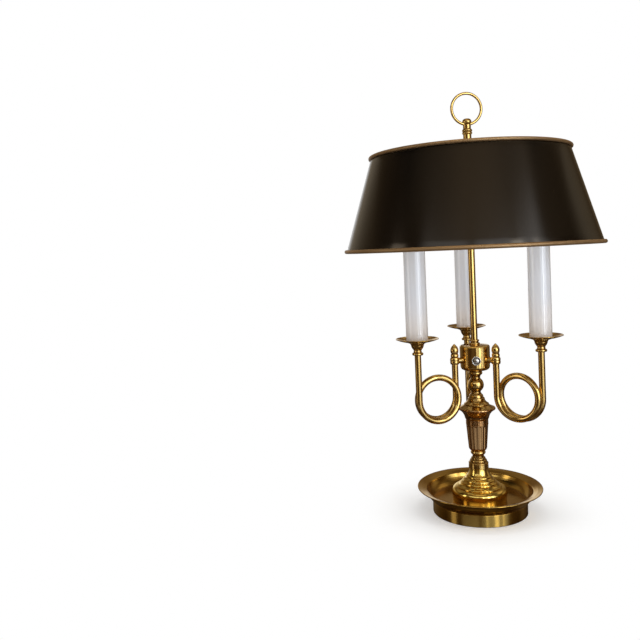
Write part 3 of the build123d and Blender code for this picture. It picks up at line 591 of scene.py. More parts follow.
def eased(points, ease, hold):
    """Round the sharp corners of a closed outline, and hold its long flats with extra points."""
    soft = []
    for before, corner, after in zip(points[-1:] + points[:-1], points, points[1:] + points[:1]):
        arriving, leaving = corner - before, after - corner
        turn = arriving.angle_signed(leaving, 0.0)
        if abs(turn) < CORNER or corner.x < ON_AXIS:
            soft.append(corner)
            continue
        cut = min(ease, EASE_SHARE * arriving.length, EASE_SHARE * leaving.length)
        first = corner - arriving.normalized() * cut
        last = corner + leaving.normalized() * cut
        for step in range(EASE_STEPS + 1):
            share = step / EASE_STEPS
            soft.append(first.lerp(corner, share).lerp(corner.lerp(last, share), share))
    held = []
    for point, after in zip(soft, soft[1:] + soft[:1]):
        held.append(point)
        run = after - point
        on_axis = point.x < ON_AXIS and after.x < ON_AXIS
        if run.length > 4 * hold and not on_axis:
            held.append(point + run.normalized() * hold)
            held.append(after - run.normalized() * hold)
    return held


# %% Turn an outline
def recesses(points):
    """How deep each point lies in a recess: 0 on a bead, towards 1 at the bottom of a cove."""
    reach, softness = 9.0, 0.4     # millimetres up to which a neighbour counts, and below which less
    depths = []
    for place, point in enumerate(points):
        ahead = points[(place + 1) % len(points)] - points[place - 1]
        outward = Vector((ahead.y, -ahead.x)).normalized()
        sides = [0.0, 0.0]
        for other in points:
            gap = other - point
            if ON_AXIS < gap.length < reach:
                side = 0 if gap.dot(ahead) > 0 else 1
                sides[side] = max(sides[side], gap.dot(outward) / (gap.length + softness))
        depths.append((sides[0] + sides[1]) / 2)
    return depths


def turned_mesh(name, outline, segments=144, ease=0.25, hold=0.35):
    """Mesh of an outline turned about Z, in metres. In millimetres, ease is how far its corners are
    cut, and hold how close to each end of a long flat it gets a point."""
    points = eased(drawn(outline), ease, hold)
    depths = recesses(points)
    mesh = bmesh.new()
    run_layer = mesh.verts.layers.float.new("run")
    recess_layer = mesh.verts.layers.float.new("recess")
    rings = []
    run = 0.0
    for place, point in enumerate(points):
        run += (point - points[place - 1]).length if place else 0.0
        around = 1 if point.x < ON_AXIS else segments
        ring = []
        for step in range(around):
            turn = 2 * pi * step / segments
            vertex = mesh.verts.new((point.x * cos(turn) * MM, point.x * sin(turn) * MM, point.y * MM))
            vertex[run_layer] = run * MM
            vertex[recess_layer] = depths[place]
            ring.append(vertex)
        rings.append(ring)
    for lower, upper in zip(rings, rings[1:] + rings[:1]):
        if len(lower) == 1 and len(upper) == 1:
            continue
        for step in range(segments):
            after = (step + 1) % segments
            corners = [lower[step % len(lower)], lower[after % len(lower)],
                       upper[after % len(upper)], upper[step % len(upper)]]
            face = mesh.faces.new(list(dict.fromkeys(corners)))
            face.smooth = True
    data = bpy.data.meshes.new(name)
    mesh.to_mesh(data)
    mesh.free()
    return data


# %% List of mouldings
def moulded(foot, foot_radius, mouldings, hollow):
    """Outline of a piece that stands at foot. Mouldings are (radius reached, rise, swell) from the
    foot up, and the hollow runs from the top down as (radius, height that it reaches down to)."""
    outline = [(foot_radius, foot)]
    level = foot
    for radius, rise, swell in mouldings:
        level += rise
        outline.append((radius, level, swell))
    for radius, floor in hollow:
        if radius != outline[-1][0]:
            outline.append((radius, level))
        level = foot + floor
        outline.append((radius, level))
    return outline


# %% [markdown]
# ## Set a finished piece in place
# A finished piece rides on a body of the frame, says which of the lamp's finishes it has, and
# which plain solid it stands for. Most of this lamp is polished brass and stands still, so that
# is what a piece gets unless it says otherwise. Copies that belong to the three arms could be
# instances, but the finished lamp is kept as plain meshes: they are joined in one mesh where the
# frame has one node for all three, and made one by one where each has its own.

# %% Set a finished piece in place
def placed(mesh, matrices):
    """One mesh that holds a copy of mesh for each matrix."""
    joined = bmesh.new()
    for matrix in matrices:
        copy = mesh.copy()
        copy.transform(matrix)
        joined.from_mesh(copy)
        bpy.data.meshes.remove(copy)
    joined.to_mesh(mesh)
    joined.free()


def set_piece(mesh, node, finish="polished_brass", body="stand"):
    """Object of a finished mesh, riding on its body in place of a node. None keeps the mesh's finish."""
    if finish:
        mesh.materials.clear()
        mesh.materials.append(finishes[finish])
    piece = new_object(mesh.name, mesh)
    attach(piece, body)
    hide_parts(node)
    print(f"{mesh.name}: {len(mesh.polygons)} faces")


def set_turned(name, node, outline, finish="polished_brass", slot="polished_brass", body="stand",
               places=(), **cut):
    """Turn an outline and set it in place of a node, as it is or with a copy at each of some places."""
    mesh = turned_mesh(name, outline, **cut)
    if places:
        placed(mesh, places)
    set_piece(mesh, node, finish, body)


# %% [markdown]
# ## Foot and tray
# The foot is an iron disc with a brass band round it, and a bushing for the cord sits in a hole
# at the back of the band. A lathe can't make that hole, so the script drills it as a workshop
# does: a Boolean takes the space of a drill out of the turned band. The tray is spun from sheet:
# its floor turns up in a rounded wall and ends in a flat, slightly sagging rim.

# %% Work a mesh with a modifier
def worked(mesh, kind, settings, inputs=()):
    """Plain mesh that one modifier makes of a mesh, whose place it takes."""
    source = new_object(mesh.name, mesh)
    modifier = source.modifiers.new("work", kind)
    for name, value in settings.items():
        setattr(modifier, name, value)
    for identifier, value in inputs:
        modifier[identifier] = value
    evaluated = source.evaluated_get(bpy.context.evaluated_depsgraph_get())
    made = bpy.data.meshes.new_from_object(evaluated)
    source.modifiers.remove(modifier)
    bpy.data.objects.remove(source)
    name = mesh.name
    bpy.data.meshes.remove(mesh)
    made.name = name
    return made


def bored(mesh, drill_mesh):
    """Mesh less the space of a drill, which is removed."""
    drill = new_object(drill_mesh.name, drill_mesh)
    made = worked(mesh, "BOOLEAN", {"operation": "DIFFERENCE", "solver": "EXACT", "object": drill})
    bpy.data.objects.remove(drill)
    bpy.data.meshes.remove(drill_mesh)
    return made


facing_front = Matrix.Rotation(radians(90), 4, "X")

# %% Foot
pipe_hole = 5.15
band_wall = 1.8
band_ledge_width = 7.5
band_ledge_thickness = 1.6
band_radius = radius_of("base_band")
band_foot, band_top = foot_of("base_band"), top_of("base_band")
band_mesh = turned_mesh("band_turned", [
    (band_radius - band_wall, band_foot),
    (band_radius, band_foot),
    (band_radius, band_top),
    (band_radius - band_ledge_width, band_top),
    (band_radius - band_ledge_width, band_top - band_ledge_thickness),
    (band_radius - band_wall, band_top - band_ledge_thickness),
], segments=192, ease=0.4)
bushing_hole = 5.0
at_bushing = Matrix.Translation((0, band_radius * MM, level_of("cord_bushing") * MM)) @ facing_front
drill = bmesh.new()
bmesh.ops.create_cone(drill, cap_ends=True, segments=64, radius1=bushing_hole * MM,
                      radius2=bushing_hole * MM, depth=4 * band_wall * MM, matrix=at_bushing)
drill_mesh = bpy.data.meshes.new("drill")
drill.to_mesh(drill_mesh)
drill.free()
set_piece(bored(band_mesh, drill_mesh), "base_band", "spun_brass")

# %% Tray
tray_sheet = 1.6
tray_corner_radius = 1.2
tray_wall_spread = 9.5
tray_wall_height = 16.1
tray_wall_swell = 1.5
tray_flare_width = 14.0
tray_flare_rise = 4.0
tray_flare_sag = 0.35
tray_foot_swell = 0.45
tray_rim_swell = 0.7
tray_corner_sag = 0.3
tray_floor_radius = radius_of("tray") - tray_flare_width - tray_wall_spread
tray_floor = foot_of("tray") + tray_sheet
tray_lip_radius = tray_floor_radius + tray_wall_spread
tray_lip = tray_floor + tray_wall_height
tray_rim_radius = tray_lip_radius + tray_flare_width
tray_rim = tray_lip + tray_flare_rise
set_turned("tray_spun", "tray", [
    (pipe_hole, foot_of("tray")),
    (tray_floor_radius, foot_of("tray")),
    (tray_floor_radius + tray_sheet, tray_floor, tray_foot_swell),
    (tray_lip_radius + tray_sheet, tray_lip - tray_sheet, tray_wall_swell),
    (tray_rim_radius, tray_rim - tray_sheet, -tray_flare_sag),
    (tray_rim_radius, tray_rim, tray_rim_swell),
    (tray_lip_radius, tray_lip, tray_flare_sag),
    (tray_floor_radius, tray_floor + tray_corner_radius, -tray_wall_swell),
    (tray_floor_radius - tray_corner_radius, tray_floor, -tray_corner_sag),
    (pipe_hole, tray_floor),
], "spun_brass", segments=224, ease=0.8)

# %% [markdown]
# ## Column
# Four turned pieces stand on each other round a threaded pipe: a mound on the tray floor, a skirt
# of rings, a stack of beads and the spindle above the vase. Each could be a stack of rings and
# cylinders, but their seams would show. One outline for each piece keeps the metal whole, and
# reads from the foot up like the turner's own list. The two lowest pieces get a lighter brass with
# less darkening: partly the polish that dusting leaves, and partly painted light for their bright
# reflections.

# %% Turned pieces of the column
mound_outline = moulded(foot_of("base_mound"), 42.0, [
    (42.9, 11.8, 0.0),    # side, leaning out a little
    (36.3, 8.0, 2.2),     # ovolo shoulder
    (34.2, 0.3, 0.0),     # step
    (33.6, 2.2, 0.8),     # bead
    (28.4, 3.0, -0.8),    # scotia
], [(pipe_hole, 20.3), (27.0, 11.0), (38.5, 0.0)])
skirt_outline = moulded(foot_of("base_skirt"), 27.6, [
    (26.9, 3.3, 0.9),     # large bead
    (24.4, 1.0, -0.3),    # cove
    (23.6, 3.4, 0.8),     # middle bead
    (19.4, 2.2, -0.6),    # cove
    (18.9, 2.7, 0.6),     # small bead
    (18.0, 0.3, 0.0),     # step
    (14.3, 11.2, -0.9),   # flared neck
], [(pipe_hole, 20.1), (11.0, 5.0), (20.5, 0.0)])
rings_outline = moulded(foot_of("column_rings"), 15.0, [
    (15.5, 0.6, 0.0),     # collar edge
    (15.2, 6.2, 0.0),     # collar
    (14.6, 0.4, 0.0),     # groove
    (14.8, 2.2, 0.8),     # bead
    (12.9, 1.2, -0.4),    # cove
    (12.5, 3.1, 0.7),     # bead
    (10.9, 1.0, -0.3),    # cove
    (10.4, 2.6, 0.5),     # bead
    (8.9, 1.3, -0.3),     # cove
    (8.9, 1.2, 0.0),      # neck
    (10.8, 3.0, -0.5),    # cove
    (10.8, 4.4, 0.8),     # bead
    (10.2, 1.0, 0.0),     # seat of the vase
], [(pipe_hole, 0.0)])
ball_radius = 12.3
ball_neck_radius = 7.3
ball_height = 2 * sqrt(ball_radius ** 2 - ball_neck_radius ** 2)
spindle_outline = moulded(foot_of("stem_spindle"), 27.8, [
    (19.9, 4.1, -0.3),    # sloping shoulder
    (19.0, 0.3, 0.0),     # step
    (18.4, 2.3, 0.7),     # bead
    (16.9, 0.9, 0.0),     # step
    (13.0, 5.4, -0.5),    # cove
    (12.6, 2.2, 0.3),     # fillet bead
    (11.2, 0.5, 0.0),     # step
    (10.5, 4.2, 0.2),     # barrel
    (7.4, 4.2, -0.5),     # cove
    (7.4, 1.8, 0.0),      # neck
    (ball_neck_radius, ball_height, ball_radius - ball_neck_radius),
    (7.2, 2.5, 0.0),      # neck
    (10.0, 4.2, -0.7),    # cove
    (10.0, 4.6, 0.8),     # flange bead
    (8.6, 0.5, 0.0),      # step
    (8.6, 2.0, 0.0),      # seat of the cluster
], [(pipe_hole, 14.0), (9.0, 0.0)])
for name, node, outline, finish in [
    ("mound_turned", "base_mound", mound_outline, "rubbed_and_lit_brass"),
    ("skirt_turned", "base_skirt", skirt_outline, "rubbed_and_lit_brass"),
    ("rings_turned", "column_rings", rings_outline, "polished_brass"),
    ("spindle_turned", "stem_spindle", spindle_outline, "polished_brass"),
]:
    set_turned(name, node, outline, finish, segments=160)

# %% [markdown]
# ## Fluted vase
# The flutes are cut by a round tool that follows the wall, so each is part of a cylinder with
# round ends. Sixteen of them repeat round the vase. A Boolean for each would leave ragged faces,
# so a Geometry Nodes tree works out how deep the tool reaches at every point, and moves the point
# inwards. The same tree cuts the small notches in the switch's ring nut. The vase gets a browner
# brass than the rest.

# %% Start, close and use a tree
def new_tree(name, inputs):
    """Geometry Nodes tree with a Geometry, a Material and its own inputs, and the wires of all these."""
    tree = bpy.data.node_groups.new(name, "GeometryNodeTree")
    for given, kind in [("Geometry", "Geometry"), *inputs, ("Material", "Material")]:
        tree.interface.new_socket(given, in_out="INPUT", socket_type="NodeSocket" + kind)
    tree.interface.new_socket("Geometry", in_out="OUTPUT", socket_type="NodeSocketGeometry")
    return tree, Wire(tree).node("NodeGroupInput", {}, {})


def close_tree(given, geometry):
    """Make the result real, give it its material and send it out."""
    real = given.node("GeometryNodeRealizeInstances", {}, {"Geometry": geometry})
    dressed = given.node("GeometryNodeSetMaterial", {},
                         {"Geometry": real, "Material": given.output("Material")})
    given.node("NodeGroupOutput", {}, {"Geometry": dressed})


def grown(mesh, tree, values):
    """Plain mesh that a tree makes of a mesh, with its inputs set by name."""
    inputs = [(item.identifier, values[item.name]) for item in tree.interface.items_tree
              if item.in_out == "INPUT" and item.name in values]
    return worked(mesh, "NODES", {"node_group": tree}, inputs)


# %% Tree that cuts flutes
cut_flutes, given = new_tree("cut_flutes", [
    (name, "Float") for name in ("Count", "Tool Radius", "Depth", "Low", "High", "Outside")])
place = given.node("GeometryNodeInputPosition", {}, {})
parts = given.node("ShaderNodeSeparateXYZ", {}, {"Vector": place})
x, y, z = parts.output("X"), parts.output("Y"), parts.output("Z")
reach = (x * x + y * y).maths("SQRT")
turn = y.maths("ARCTAN2", x)
pitch = given.node("ShaderNodeMath", {"operation": "DIVIDE"}, {0: 2 * pi, 1: given.output("Count")})
across = (turn.maths("WRAP", pitch, 0.0) - pitch * 0.5) * reach
past = (given.output("Low") - z).maths("MAXIMUM", z - given.output("High")).maths("MAXIMUM", 0.0)
tool = given.output("Tool Radius")
sunk = (tool * tool - across * across - past * past).maths("MAXIMUM", 0.0).maths("SQRT")
outside = reach.maths("GREATER_THAN", given.output("Outside"))
depth = (sunk - (tool - given.output("Depth"))).maths("MAXIMUM", 0.0) * outside
inwards = given.node("ShaderNodeCombineXYZ", {},
                     {"X": x / reach * depth * -1.0, "Y": y / reach * depth * -1.0})
close_tree(given, given.node("GeometryNodeSetPosition", {},
                             {"Geometry": given.output("Geometry"), "Offset": inwards}))
print("tree:", cut_flutes.name, "with", len(cut_flutes.nodes), "nodes")

# %% Vase
vase_foot_radius = 11.2
vase_chamfer_radius = 14.2
vase_chamfer_height = 4.0
vase_body_radius = 17.1
vase_body_height = 36.8
vase_ring_count = 4
vase_ring_pitch = 2.2
vase_ring_height = 1.1
vase_ring_proud = 0.45
flute_count = 16
flute_radius = 4.0
flute_depth = 0.6
flute_end = 2.2
flute_columns = 22
wall_rows = 26
wall_share = 0.8      # the tree leaves what lies further in than this share of the wall
vase_foot = foot_of("column_vase")
vase_mouldings = [(vase_chamfer_radius, vase_chamfer_height, 0.4)]
for row in range(1, wall_rows + 1):
    share = row / wall_rows
    reached = vase_chamfer_radius + (vase_body_radius - vase_chamfer_radius) * share
    vase_mouldings.append((reached, vase_body_height / wall_rows, 0.0))
for ring in range(vase_ring_count):
    vase_mouldings.append((vase_body_radius, vase_ring_pitch - vase_ring_height, 0.0))
    vase_mouldings.append((vase_body_radius, vase_ring_height, vase_ring_proud))
vase_mouldings += [
    (18.6, 2.1, 0.0),      # neck
    (28.3, 13.9, -2.0),    # flare
    (28.3, 3.1, 0.8),      # lip
]
vase_outline = moulded(vase_foot, vase_foot_radius, vase_mouldings, [(10.2, 8.0), (pipe_hole, 0.0)])
vase_mesh = turned_mesh("vase_fluted", vase_outline, segments=flute_count * flute_columns, ease=0.2)
vase_mesh = grown(vase_mesh, cut_flutes, {
    "Count": float(flute_count), "Tool Radius": flute_radius * MM, "Depth": flute_depth * MM,
    "Low": (vase_foot + vase_chamfer_height) * MM,
    "High": (vase_foot + vase_chamfer_height + vase_body_height - flute_end) * MM,
    "Outside": wall_share * vase_chamfer_radius * MM, "Material": finishes["browned_brass"],
})
set_piece(vase_mesh, "column_vase", None)

# %% [markdown]
# ## Cluster, rod and switch
# A hollow drum between a cup and a cap carries the arms. The rod rises from its cap to the shade,
# and the push switch looks out at the front. The drum is pierced for the arms and the switch, so
# the plain node from the frame is kept, and only the cup and the cap are turned again. The nut
# and plunger of the switch are turned upright, like all else, and then tipped to face the front.

# %% Cluster
cup_foot = foot_of("cluster_bottom_cup")
cup_radius = radius_of("cluster_bottom_cup")
cup_corner = 5.5
cup_corner_swell = 1.3
cup_wall = 2.0
drum_radius = radius_of("cluster_top_cap")
drum_foot, drum_top = foot_of("cluster_drum"), top_of("cluster_drum")
drum_bore = drum_radius - 1.8
spigot_bore = drum_bore - 1.85
set_turned("cluster_cup_turned", "cluster_bottom_cup", [
    (pipe_hole, cup_foot),
    (cup_radius - cup_corner, cup_foot),
    (cup_radius, cup_foot + cup_corner, cup_corner_swell),
    (cup_radius, drum_foot),
    (spigot_bore, drum_foot),
    (spigot_bore, cup_foot + cup_wall + cup_corner),
    (spigot_bore - cup_corner, cup_foot + cup_wall, -cup_corner_swell),
    (pipe_hole, cup_foot + cup_wall),
])
cap_land_radius = 9.5
cap_bevel = 2.0
cap_edge_height = 1.2
cap_swell = 0.2
cap_recess = 0.4
rod_radius = 5.3
cap_top = top_of("cluster_top_cap")
set_turned("cluster_cap_turned", "cluster_top_cap", [
    (spigot_bore, drum_top),
    (drum_radius, drum_top),
    (drum_radius, drum_top + cap_edge_height),
    (drum_radius - cap_bevel, drum_top + cap_edge_height + cap_bevel, cap_swell),
    (cap_land_radius, cap_top, cap_swell),
    (rod_radius, cap_top),
    (rod_radius, drum_top + cap_recess),
    (spigot_bore, drum_top + cap_recess),
])

# %% Rod and its collars
rod_top = top_of("rod_rest_collar")
stud_radius = 3.0
set_turned("rod_drawn", "centre_rod", [
    (0, foot_of("centre_rod")),
    (rod_radius, foot_of("centre_rod")),
    (rod_radius, rod_top),
    (stud_radius, rod_top),
    (stud_radius, top_of("centre_rod")),
    (0, top_of("centre_rod")),
], segments=72)
set_turned("rod_collar_turned", "rod_foot_collar", moulded(cap_top, 8.2, [
    (8.2, 2.6, 0.5),      # bead on the cap
    (6.6, 0.4, 0.0),      # step
    (6.4, 1.6, -0.2),     # neck
    (7.0, 0.2, 0.0),      # step
    (7.0, 2.6, 0.5),      # bead
    (6.0, 0.4, 0.0),      # step
], [(rod_radius, 0.0)]), segments=96)
set_turned("rest_collar_turned", "rod_rest_collar", moulded(foot_of("rod_rest_collar"), 8.0, [
    (9.0, 1.0, 0.3),      # rounded foot
    (9.0, 3.0, 0.0),      # side
], [(rod_radius, 0.0)]), segments=96)

# %% Switch
at_switch = Matrix.Translation((0, 0, level_of("switch_ring_nut") * MM)) @ facing_front
nut_front, nut_seat = front_and_back("switch_ring_nut")
nut_radius = 7.2
barrel_radius = 5.4
nut_ease = 0.45
notch_count = 12
notch_columns = 24
notch_radius = notch_depth = 0.5
nut_rim_share = 0.9
nut_mesh = turned_mesh("switch_nut_notched", [
    (barrel_radius, nut_seat),
    (nut_radius, nut_seat),
    (nut_radius, nut_front),
    (barrel_radius, nut_front),
], segments=notch_count * notch_columns, ease=nut_ease)
nut_mesh = grown(nut_mesh, cut_flutes, {
    "Count": float(notch_count), "Tool Radius": notch_radius * MM, "Depth": notch_depth * MM,
    "Low": 0.0, "High": 1.0, "Outside": nut_rim_share * nut_radius * MM, "Material": finishes["nickel"],
})
placed(nut_mesh, [at_switch])
set_piece(nut_mesh, "switch_ring_nut", None)
plunger_front, plunger_back = front_and_back("switch_plunger")
plunger_radius, button_radius = 4.0, 3.2
plunger_side, button_rise, button_swell = 1.4, 0.5, 0.2
set_turned("switch_plunger_domed", "switch_plunger", [
    (0, plunger_back),
    (plunger_radius, plunger_back),
    (plunger_radius, plunger_front - plunger_side),
    (button_radius, plunger_front - button_rise, button_swell),
    (0, plunger_front, DOME),
], "nickel", "nickel", "switch_button", [at_switch], segments=72)

# %% [markdown]
# ## Scrolled arms
# Each arm is one tube: down from its knuckle, once round an open loop, and up to the candle. A
# Bezier curve drawn by hand would wander off the tube's true bends. Here the middle line is a few
# corners with a bend radius each. A Geometry Nodes tree rounds the corners with Fillet Curve and
# sweeps a circle along the line, as a tube bender would.

# %% Tree that bends a tube
bend_tube, given = new_tree("bend_tube", [("Steps", "Int"), ("Tube Radius", "Float"), ("Round", "Int")])
line = given.node("GeometryNodeMeshToCurve", {}, {"Mesh": given.output("Geometry")})
bend = given.node("GeometryNodeInputNamedAttribute", {"data_type": "FLOAT"}, {"Name": "bend"}, "Attribute")
rounded = given.node("GeometryNodeFilletCurve", {"mode": "POLY"},
                     {"Curve": line, "Count": given.output("Steps"), "Radius": bend})
section = given.node("GeometryNodeCurvePrimitiveCircle", {},
                     {"Resolution": given.output("Round"), "Radius": given.output("Tube Radius")})
close_tree(given, given.node("GeometryNodeCurveToMesh", {},
                             {"Curve": rounded, "Profile Curve": section, "Fill Caps": True}))
print("tree:", bend_tube.name, "with", len(bend_tube.nodes), "nodes")


# %% Line of an arm
def bent_line(name, corners):
    """Mesh of a line of edges. Each corner is (place, bend radius), in millimetres."""
    data = bpy.data.meshes.new(name)
    data.from_pydata([place * MM for place, bend in corners],
                     [(step, step + 1) for step in range(len(corners) - 1)], [])
    layer = data.attributes.new("bend", "FLOAT", "POINT")
    layer.data.foreach_set("value", [bend * MM for place, bend in corners])
    return data


arm_azimuths = {"left": radians(206.5), "right": radians(326.5), "back": radians(86.5)}
knuckle_reach = 36.0
tube_radius = 4.9
coil_gap = 1.0
side_shift = 2 * tube_radius + coil_gap
turn_corners = 4
turn_roundness = 0.985
first_turn_radius, second_turn_radius, third_turn_radius = 33.1, 32.4, 33.7
first_middle = knuckle_reach + first_turn_radius
second_middle = first_middle + first_turn_radius - second_turn_radius
third_middle = second_middle - second_turn_radius + third_turn_radius
candle_reach = third_middle + third_turn_radius
knuckle_foot = foot_of("arm_knuckles")
knuckle_socket_depth = 2.6
loop_drop = 54.6
loop_level = level_of("arm_nipples") - loop_drop
arm_top = top_of("left_arm_tube")


def half_turn(middle, radius, side, shifts):
    """Corners of half a turn: side -1 runs outwards below the loop's middle, side 1 back above it."""
    reach = radius / cos(pi / turn_corners / 2)
    corners = []
    for corner, shift in enumerate(shifts):
        turn = (corner + 0.5) * pi / turn_corners
        place = Vector((middle + side * reach * cos(turn), shift, loop_level + side * reach * sin(turn)))
        corners.append((place, turn_roundness * radius))
    return corners


# The loop climbs to the side while it turns back, so that the tube clears itself.
climb = [side_shift * (corner + 0.5) / turn_corners for corner in range(turn_corners)]
arm_corners = [(Vector((knuckle_reach, 0, knuckle_foot + knuckle_socket_depth)), 0.0)]
arm_corners += half_turn(first_middle, first_turn_radius, -1, [0.0] * turn_corners)
arm_corners += half_turn(second_middle, second_turn_radius, 1, climb)
arm_corners += half_turn(third_middle, third_turn_radius, -1, [side_shift] * turn_corners)
arm_corners += [(Vector((candle_reach, side_shift, arm_top)), 0.0)]

# %% Arms
corner_steps = 14
tube_sides = 48
for side, azimuth in arm_azimuths.items():
    tube_mesh = grown(bent_line(f"{side}_arm_bent", arm_corners), bend_tube, {
        "Steps": corner_steps, "Tube Radius": tube_radius * MM, "Round": tube_sides,
        "Material": finishes["polished_brass"],
    })
    tube_mesh.transform(Matrix.Rotation(azimuth, 4, "Z"))
    set_piece(tube_mesh, f"{side}_arm_tube", None)

# %% [markdown]
# ## Knuckles, pans and candles
# A knuckle with an acorn nut on it joins each arm to the drum. At the arm's other end a collar and a
# cup carry the drip pan, and a white plastic sleeve stands on it as the candle. Three models of
# each would soon differ, so each is turned once, upright, and copied to the three arms.

# %% Knuckles, acorns, collars and cups
on_arms = [Matrix.Rotation(azimuth, 4, "Z") for azimuth in arm_azimuths.values()]
on_knuckles = [turn @ Matrix.Translation((knuckle_reach * MM, 0, 0)) for turn in on_arms]
on_candles = [turn @ Matrix.Translation((candle_reach * MM, side_shift * MM, 0)) for turn in on_arms]
knuckle_top = top_of("arm_knuckles")
knuckle_radius = 6.9
knuckle_swell = 0.5
knuckle_hole = 3.9
knuckle_half = (knuckle_top - knuckle_foot) / 2
knuckle_outline = [
    (tube_radius, knuckle_foot),
    (knuckle_radius - knuckle_swell, knuckle_foot),
    (knuckle_radius, knuckle_foot + knuckle_half, knuckle_swell),
    (knuckle_radius - knuckle_swell, knuckle_top, knuckle_swell),
    (knuckle_hole, knuckle_top),
    (knuckle_hole, knuckle_foot + knuckle_socket_depth),
    (tube_radius, knuckle_foot + knuckle_socket_depth),
]
acorn_outline = moulded(knuckle_top, 5.3, [
    (5.3, 5.6, 0.8),      # ring
    (4.9, 0.5, 0.0),      # groove
    (5.9, 2.2, 0.2),      # shoulder of the acorn
    (1.6, 11.5, 1.9),     # ogive
    (0.0, 1.4, DOME),     # tip
], [(0.0, 0.0)])
head_collar_foot = foot_of("arm_collars")
head_nipple_hole = 4.75
arm_collar_outline = moulded(head_collar_foot, 7.6, [
    (7.6, 3.8, 0.95),     # bead
    (5.9, 0.6, 0.0),      # step
    (5.9, 2.0, 0.3),      # small bead
    (5.7, 1.2, 0.0),      # neck
], [(head_nipple_hole, 4.2), (tube_radius, 0.0)])
pan_cup_outline = moulded(foot_of("pan_cups"), 6.3, [
    (6.5, 1.0, 0.0),      # foot
    (9.5, 5.6, 0.5),      # bulb
    (9.6, 0.9, 0.2),      # band
    (14.2, 3.8, -0.9),    # flare
    (14.4, 1.2, 0.25),    # edge
], [(head_nipple_hole, 0.0)])
for name, node, outline, places in [
    ("knuckles_turned", "arm_knuckles", knuckle_outline, on_knuckles),
    ("acorns_turned", "acorn_nuts", acorn_outline, on_knuckles),
    ("head_collars_turned", "arm_collars", arm_collar_outline, on_candles),
    ("pan_cups_turned", "pan_cups", pan_cup_outline, on_candles),
]:
    set_turned(name, node, outline, places=places, segments=80)

# %% Drip pans and candle covers
pan_foot = foot_of("left_drip_pan")
pan_sheet = 1.1
pan_floor_radius = 17.5
pan_rim_radius = 32.0
pan_rim_rise = 4.2
pan_sag = 0.5
pan_rim_swell = 0.4 * pan_sheet
pan_outline = [
    (head_nipple_hole, pan_foot),
    (pan_floor_radius, pan_foot),
    (pan_rim_radius, pan_foot + pan_rim_rise, pan_sag),
    (pan_rim_radius, pan_foot + pan_rim_rise + pan_sheet, pan_rim_swell),
    (pan_floor_radius, pan_foot + pan_sheet, -pan_sag),
    (head_nipple_hole, pan_foot + pan_sheet),
]
cover_foot, cover_top = foot_of("left_candle_cover"), top_of("left_candle_cover")
cover_radius = 16.5
cover_wall = 1.2
cover_bore = cover_radius - cover_wall
cover_outline = [
    (cover_bore, cover_foot),
    (cover_radius, cover_foot),
    (cover_radius, cover_top),
    (cover_bore, cover_top),
]
for side, place in zip(arm_azimuths, on_candles):
    set_turned(f"{side}_pan_spun", f"{side}_drip_pan", pan_outline, "spun_brass",
               places=[place], segments=112)
    set_turned(f"{side}_cover_moulded", f"{side}_candle_cover", cover_outline, "candle_plastic",
               "candle_plastic", places=[place], segments=96, ease=0.5)

# %% [markdown]
# ## Shade
# The shade is a cone of thin sheet, dark satin enamel outside and pale inside. A cone with a
# Solidify modifier would do, but turning the sheet's own section gives both faces at once, and
# their outward direction then says which enamel they get. The ends of the sheet are lapped and
# soldered at the back, and its edges are rolled over a wire and gilded.

# %% Lap of the sheet
shade_sheet = 0.8
shade_foot, shade_top = foot_of("shade_shell"), top_of("shade_shell")
shade_bottom_radius = radius_of("shade_shell")
shade_top_radius = 150.8
bottom_wire = 3.0
top_wire = 2.6
lap_width = 9.0
lap_thickness = 0.5
lap_steps = 8


def add_lap(mesh):
    """Add the lap where the ends of the sheet overlap at the back, as a thin strip along the cone."""
    work = bmesh.new()
    work.from_mesh(mesh)
    section = [
        (shade_bottom_radius - lap_thickness / 2, shade_foot + bottom_wire / 2),
        (shade_bottom_radius + lap_thickness, shade_foot + bottom_wire / 2),
        (shade_top_radius + lap_thickness, shade_top - top_wire / 2),
        (shade_top_radius - lap_thickness / 2, shade_top - top_wire / 2),
    ]
    rows = []
    for step in range(lap_steps + 1):
        aside = lap_width * (step / lap_steps - 0.5)
        rows.append([work.verts.new((aside * MM, sqrt(radius ** 2 - aside ** 2) * MM, height * MM))
                     for radius, height in section])
    strip = [work.faces.new((row[corner], after[corner], after[corner - 1], row[corner - 1]))
             for row, after in zip(rows, rows[1:]) for corner in range(4)]
    strip += [work.faces.new(rows[0][::-1]), work.faces.new(rows[-1])]
    bmesh.ops.recalc_face_normals(work, faces=strip)
    work.to_mesh(mesh)
    work.free()


# %% Shade
shade_mesh = turned_mesh("shade_cone", [
    (shade_bottom_radius - shade_sheet, shade_foot),
    (shade_bottom_radius, shade_foot),
    (shade_top_radius, shade_top),
    (shade_top_radius - shade_sheet, shade_top),
], segments=256, ease=0.2, hold=12.0)
add_lap(shade_mesh)
set_piece(shade_mesh, "shade_shell", "shade_enamel", "shade")
shade_mesh.materials.append(finishes["lining_enamel"])
for face in shade_mesh.polygons:
    outward = Vector((face.center.x, face.center.y, 0))
    face.material_index = 1 if face.normal.dot(outward) < 0 else 0


def wire_outline(radius, level, wire):
    """Round section of a wire, from its outermost point round and back."""
    return [(radius + wire, level), (radius - wire, level, wire), (radius + wire, level, wire)]


for name, node, level, wire in [
    ("bottom_bead_rolled", "shade_bottom_bead", shade_foot, bottom_wire),
    ("top_bead_rolled", "shade_top_bead", shade_top, top_wire),
]:
    set_turned(name, node, wire_outline(radius_of(node) - wire, level, wire), "antique_gold",
               "antique_gold", "shade", segments=256)

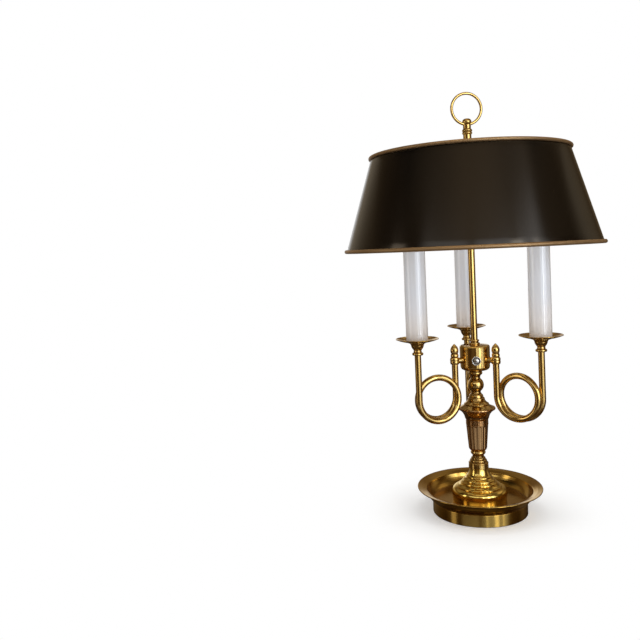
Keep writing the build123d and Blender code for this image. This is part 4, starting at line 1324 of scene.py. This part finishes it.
# %% [markdown]
# ## Finial
# The finial screws on the rod's stud and clamps the shade. A ring of bent wire stands in its
# crown. A torus would do for the ring, but the lathe makes one as well: the round section of a
# wire, turned about the ring's own middle and then stood upright.

# %% Finial
set_turned("finial_turned", "finial_body", moulded(foot_of("finial_body"), 6.4, [
    (6.3, 33.9, 0.0),     # stem
    (6.9, 0.4, 0.0),      # step
    (6.9, 3.6, 0.95),     # bead
    (6.9, 0.3, 0.0),      # groove
    (6.9, 3.8, 0.95),     # bead
    (6.0, 0.7, 0.0),      # step
    (6.0, 6.5, 0.0),      # neck
    (4.9, 0.3, 0.0),      # undercut of the ball
    (3.4, 8.9, 2.9),      # flattened ball
    (0.0, 0.5, DOME),     # crown
], [(0.0, 13.0), (3.05, 0.0)]), body="finial", segments=96)
ring_radius = 23.9
ring_wire = 2.2
ring_turn = radians(16)
ring_middle = top_of("finial_ring") - ring_radius - ring_wire
at_ring = Matrix.Translation((0, 0, ring_middle * MM)) @ Matrix.Rotation(ring_turn, 4, "Z") @ facing_front
set_turned("finial_ring_bent", "finial_ring", wire_outline(ring_radius, 0, ring_wire),
           body="finial", places=[at_ring], segments=128)

# %% [markdown]
# ## Pieces kept from the frame
# Nuts, sockets, leads and the other small parts are right as the frame has them, and most are
# hidden, so modelling them again would add nothing. They only get their finish, and smooth
# shading that stops at real edges. Their faces are loose triangles, so a Weld comes first.

# %% Dress the kept nodes
# The switch's bushing gets the dark nickel: painted shade in the gap round its plunger.
shade_painted_finishes = {"switch_bushing": "painted_shade_nickel"}      # where the finish isn't its slot's
weld_distance = 0.00001
edge_angle = radians(30)
slots = {part["node"]: part["material_slot"] for part in frame["record"]["subparts"]}
kept = [node for node, piece in frame["nodes"].items() if not piece.hide_render]
for node in kept:
    piece = frame["nodes"][node]
    piece.data.materials.clear()
    piece.data.materials.append(finishes[shade_painted_finishes.get(node, slots[node])])
    piece.data.shade_smooth()
    weld = piece.modifiers.new("weld", "WELD")
    weld.merge_threshold = weld_distance
    split = piece.modifiers.new("edges", "EDGE_SPLIT")
    split.split_angle = edge_angle
print("kept nodes:", sorted(kept))
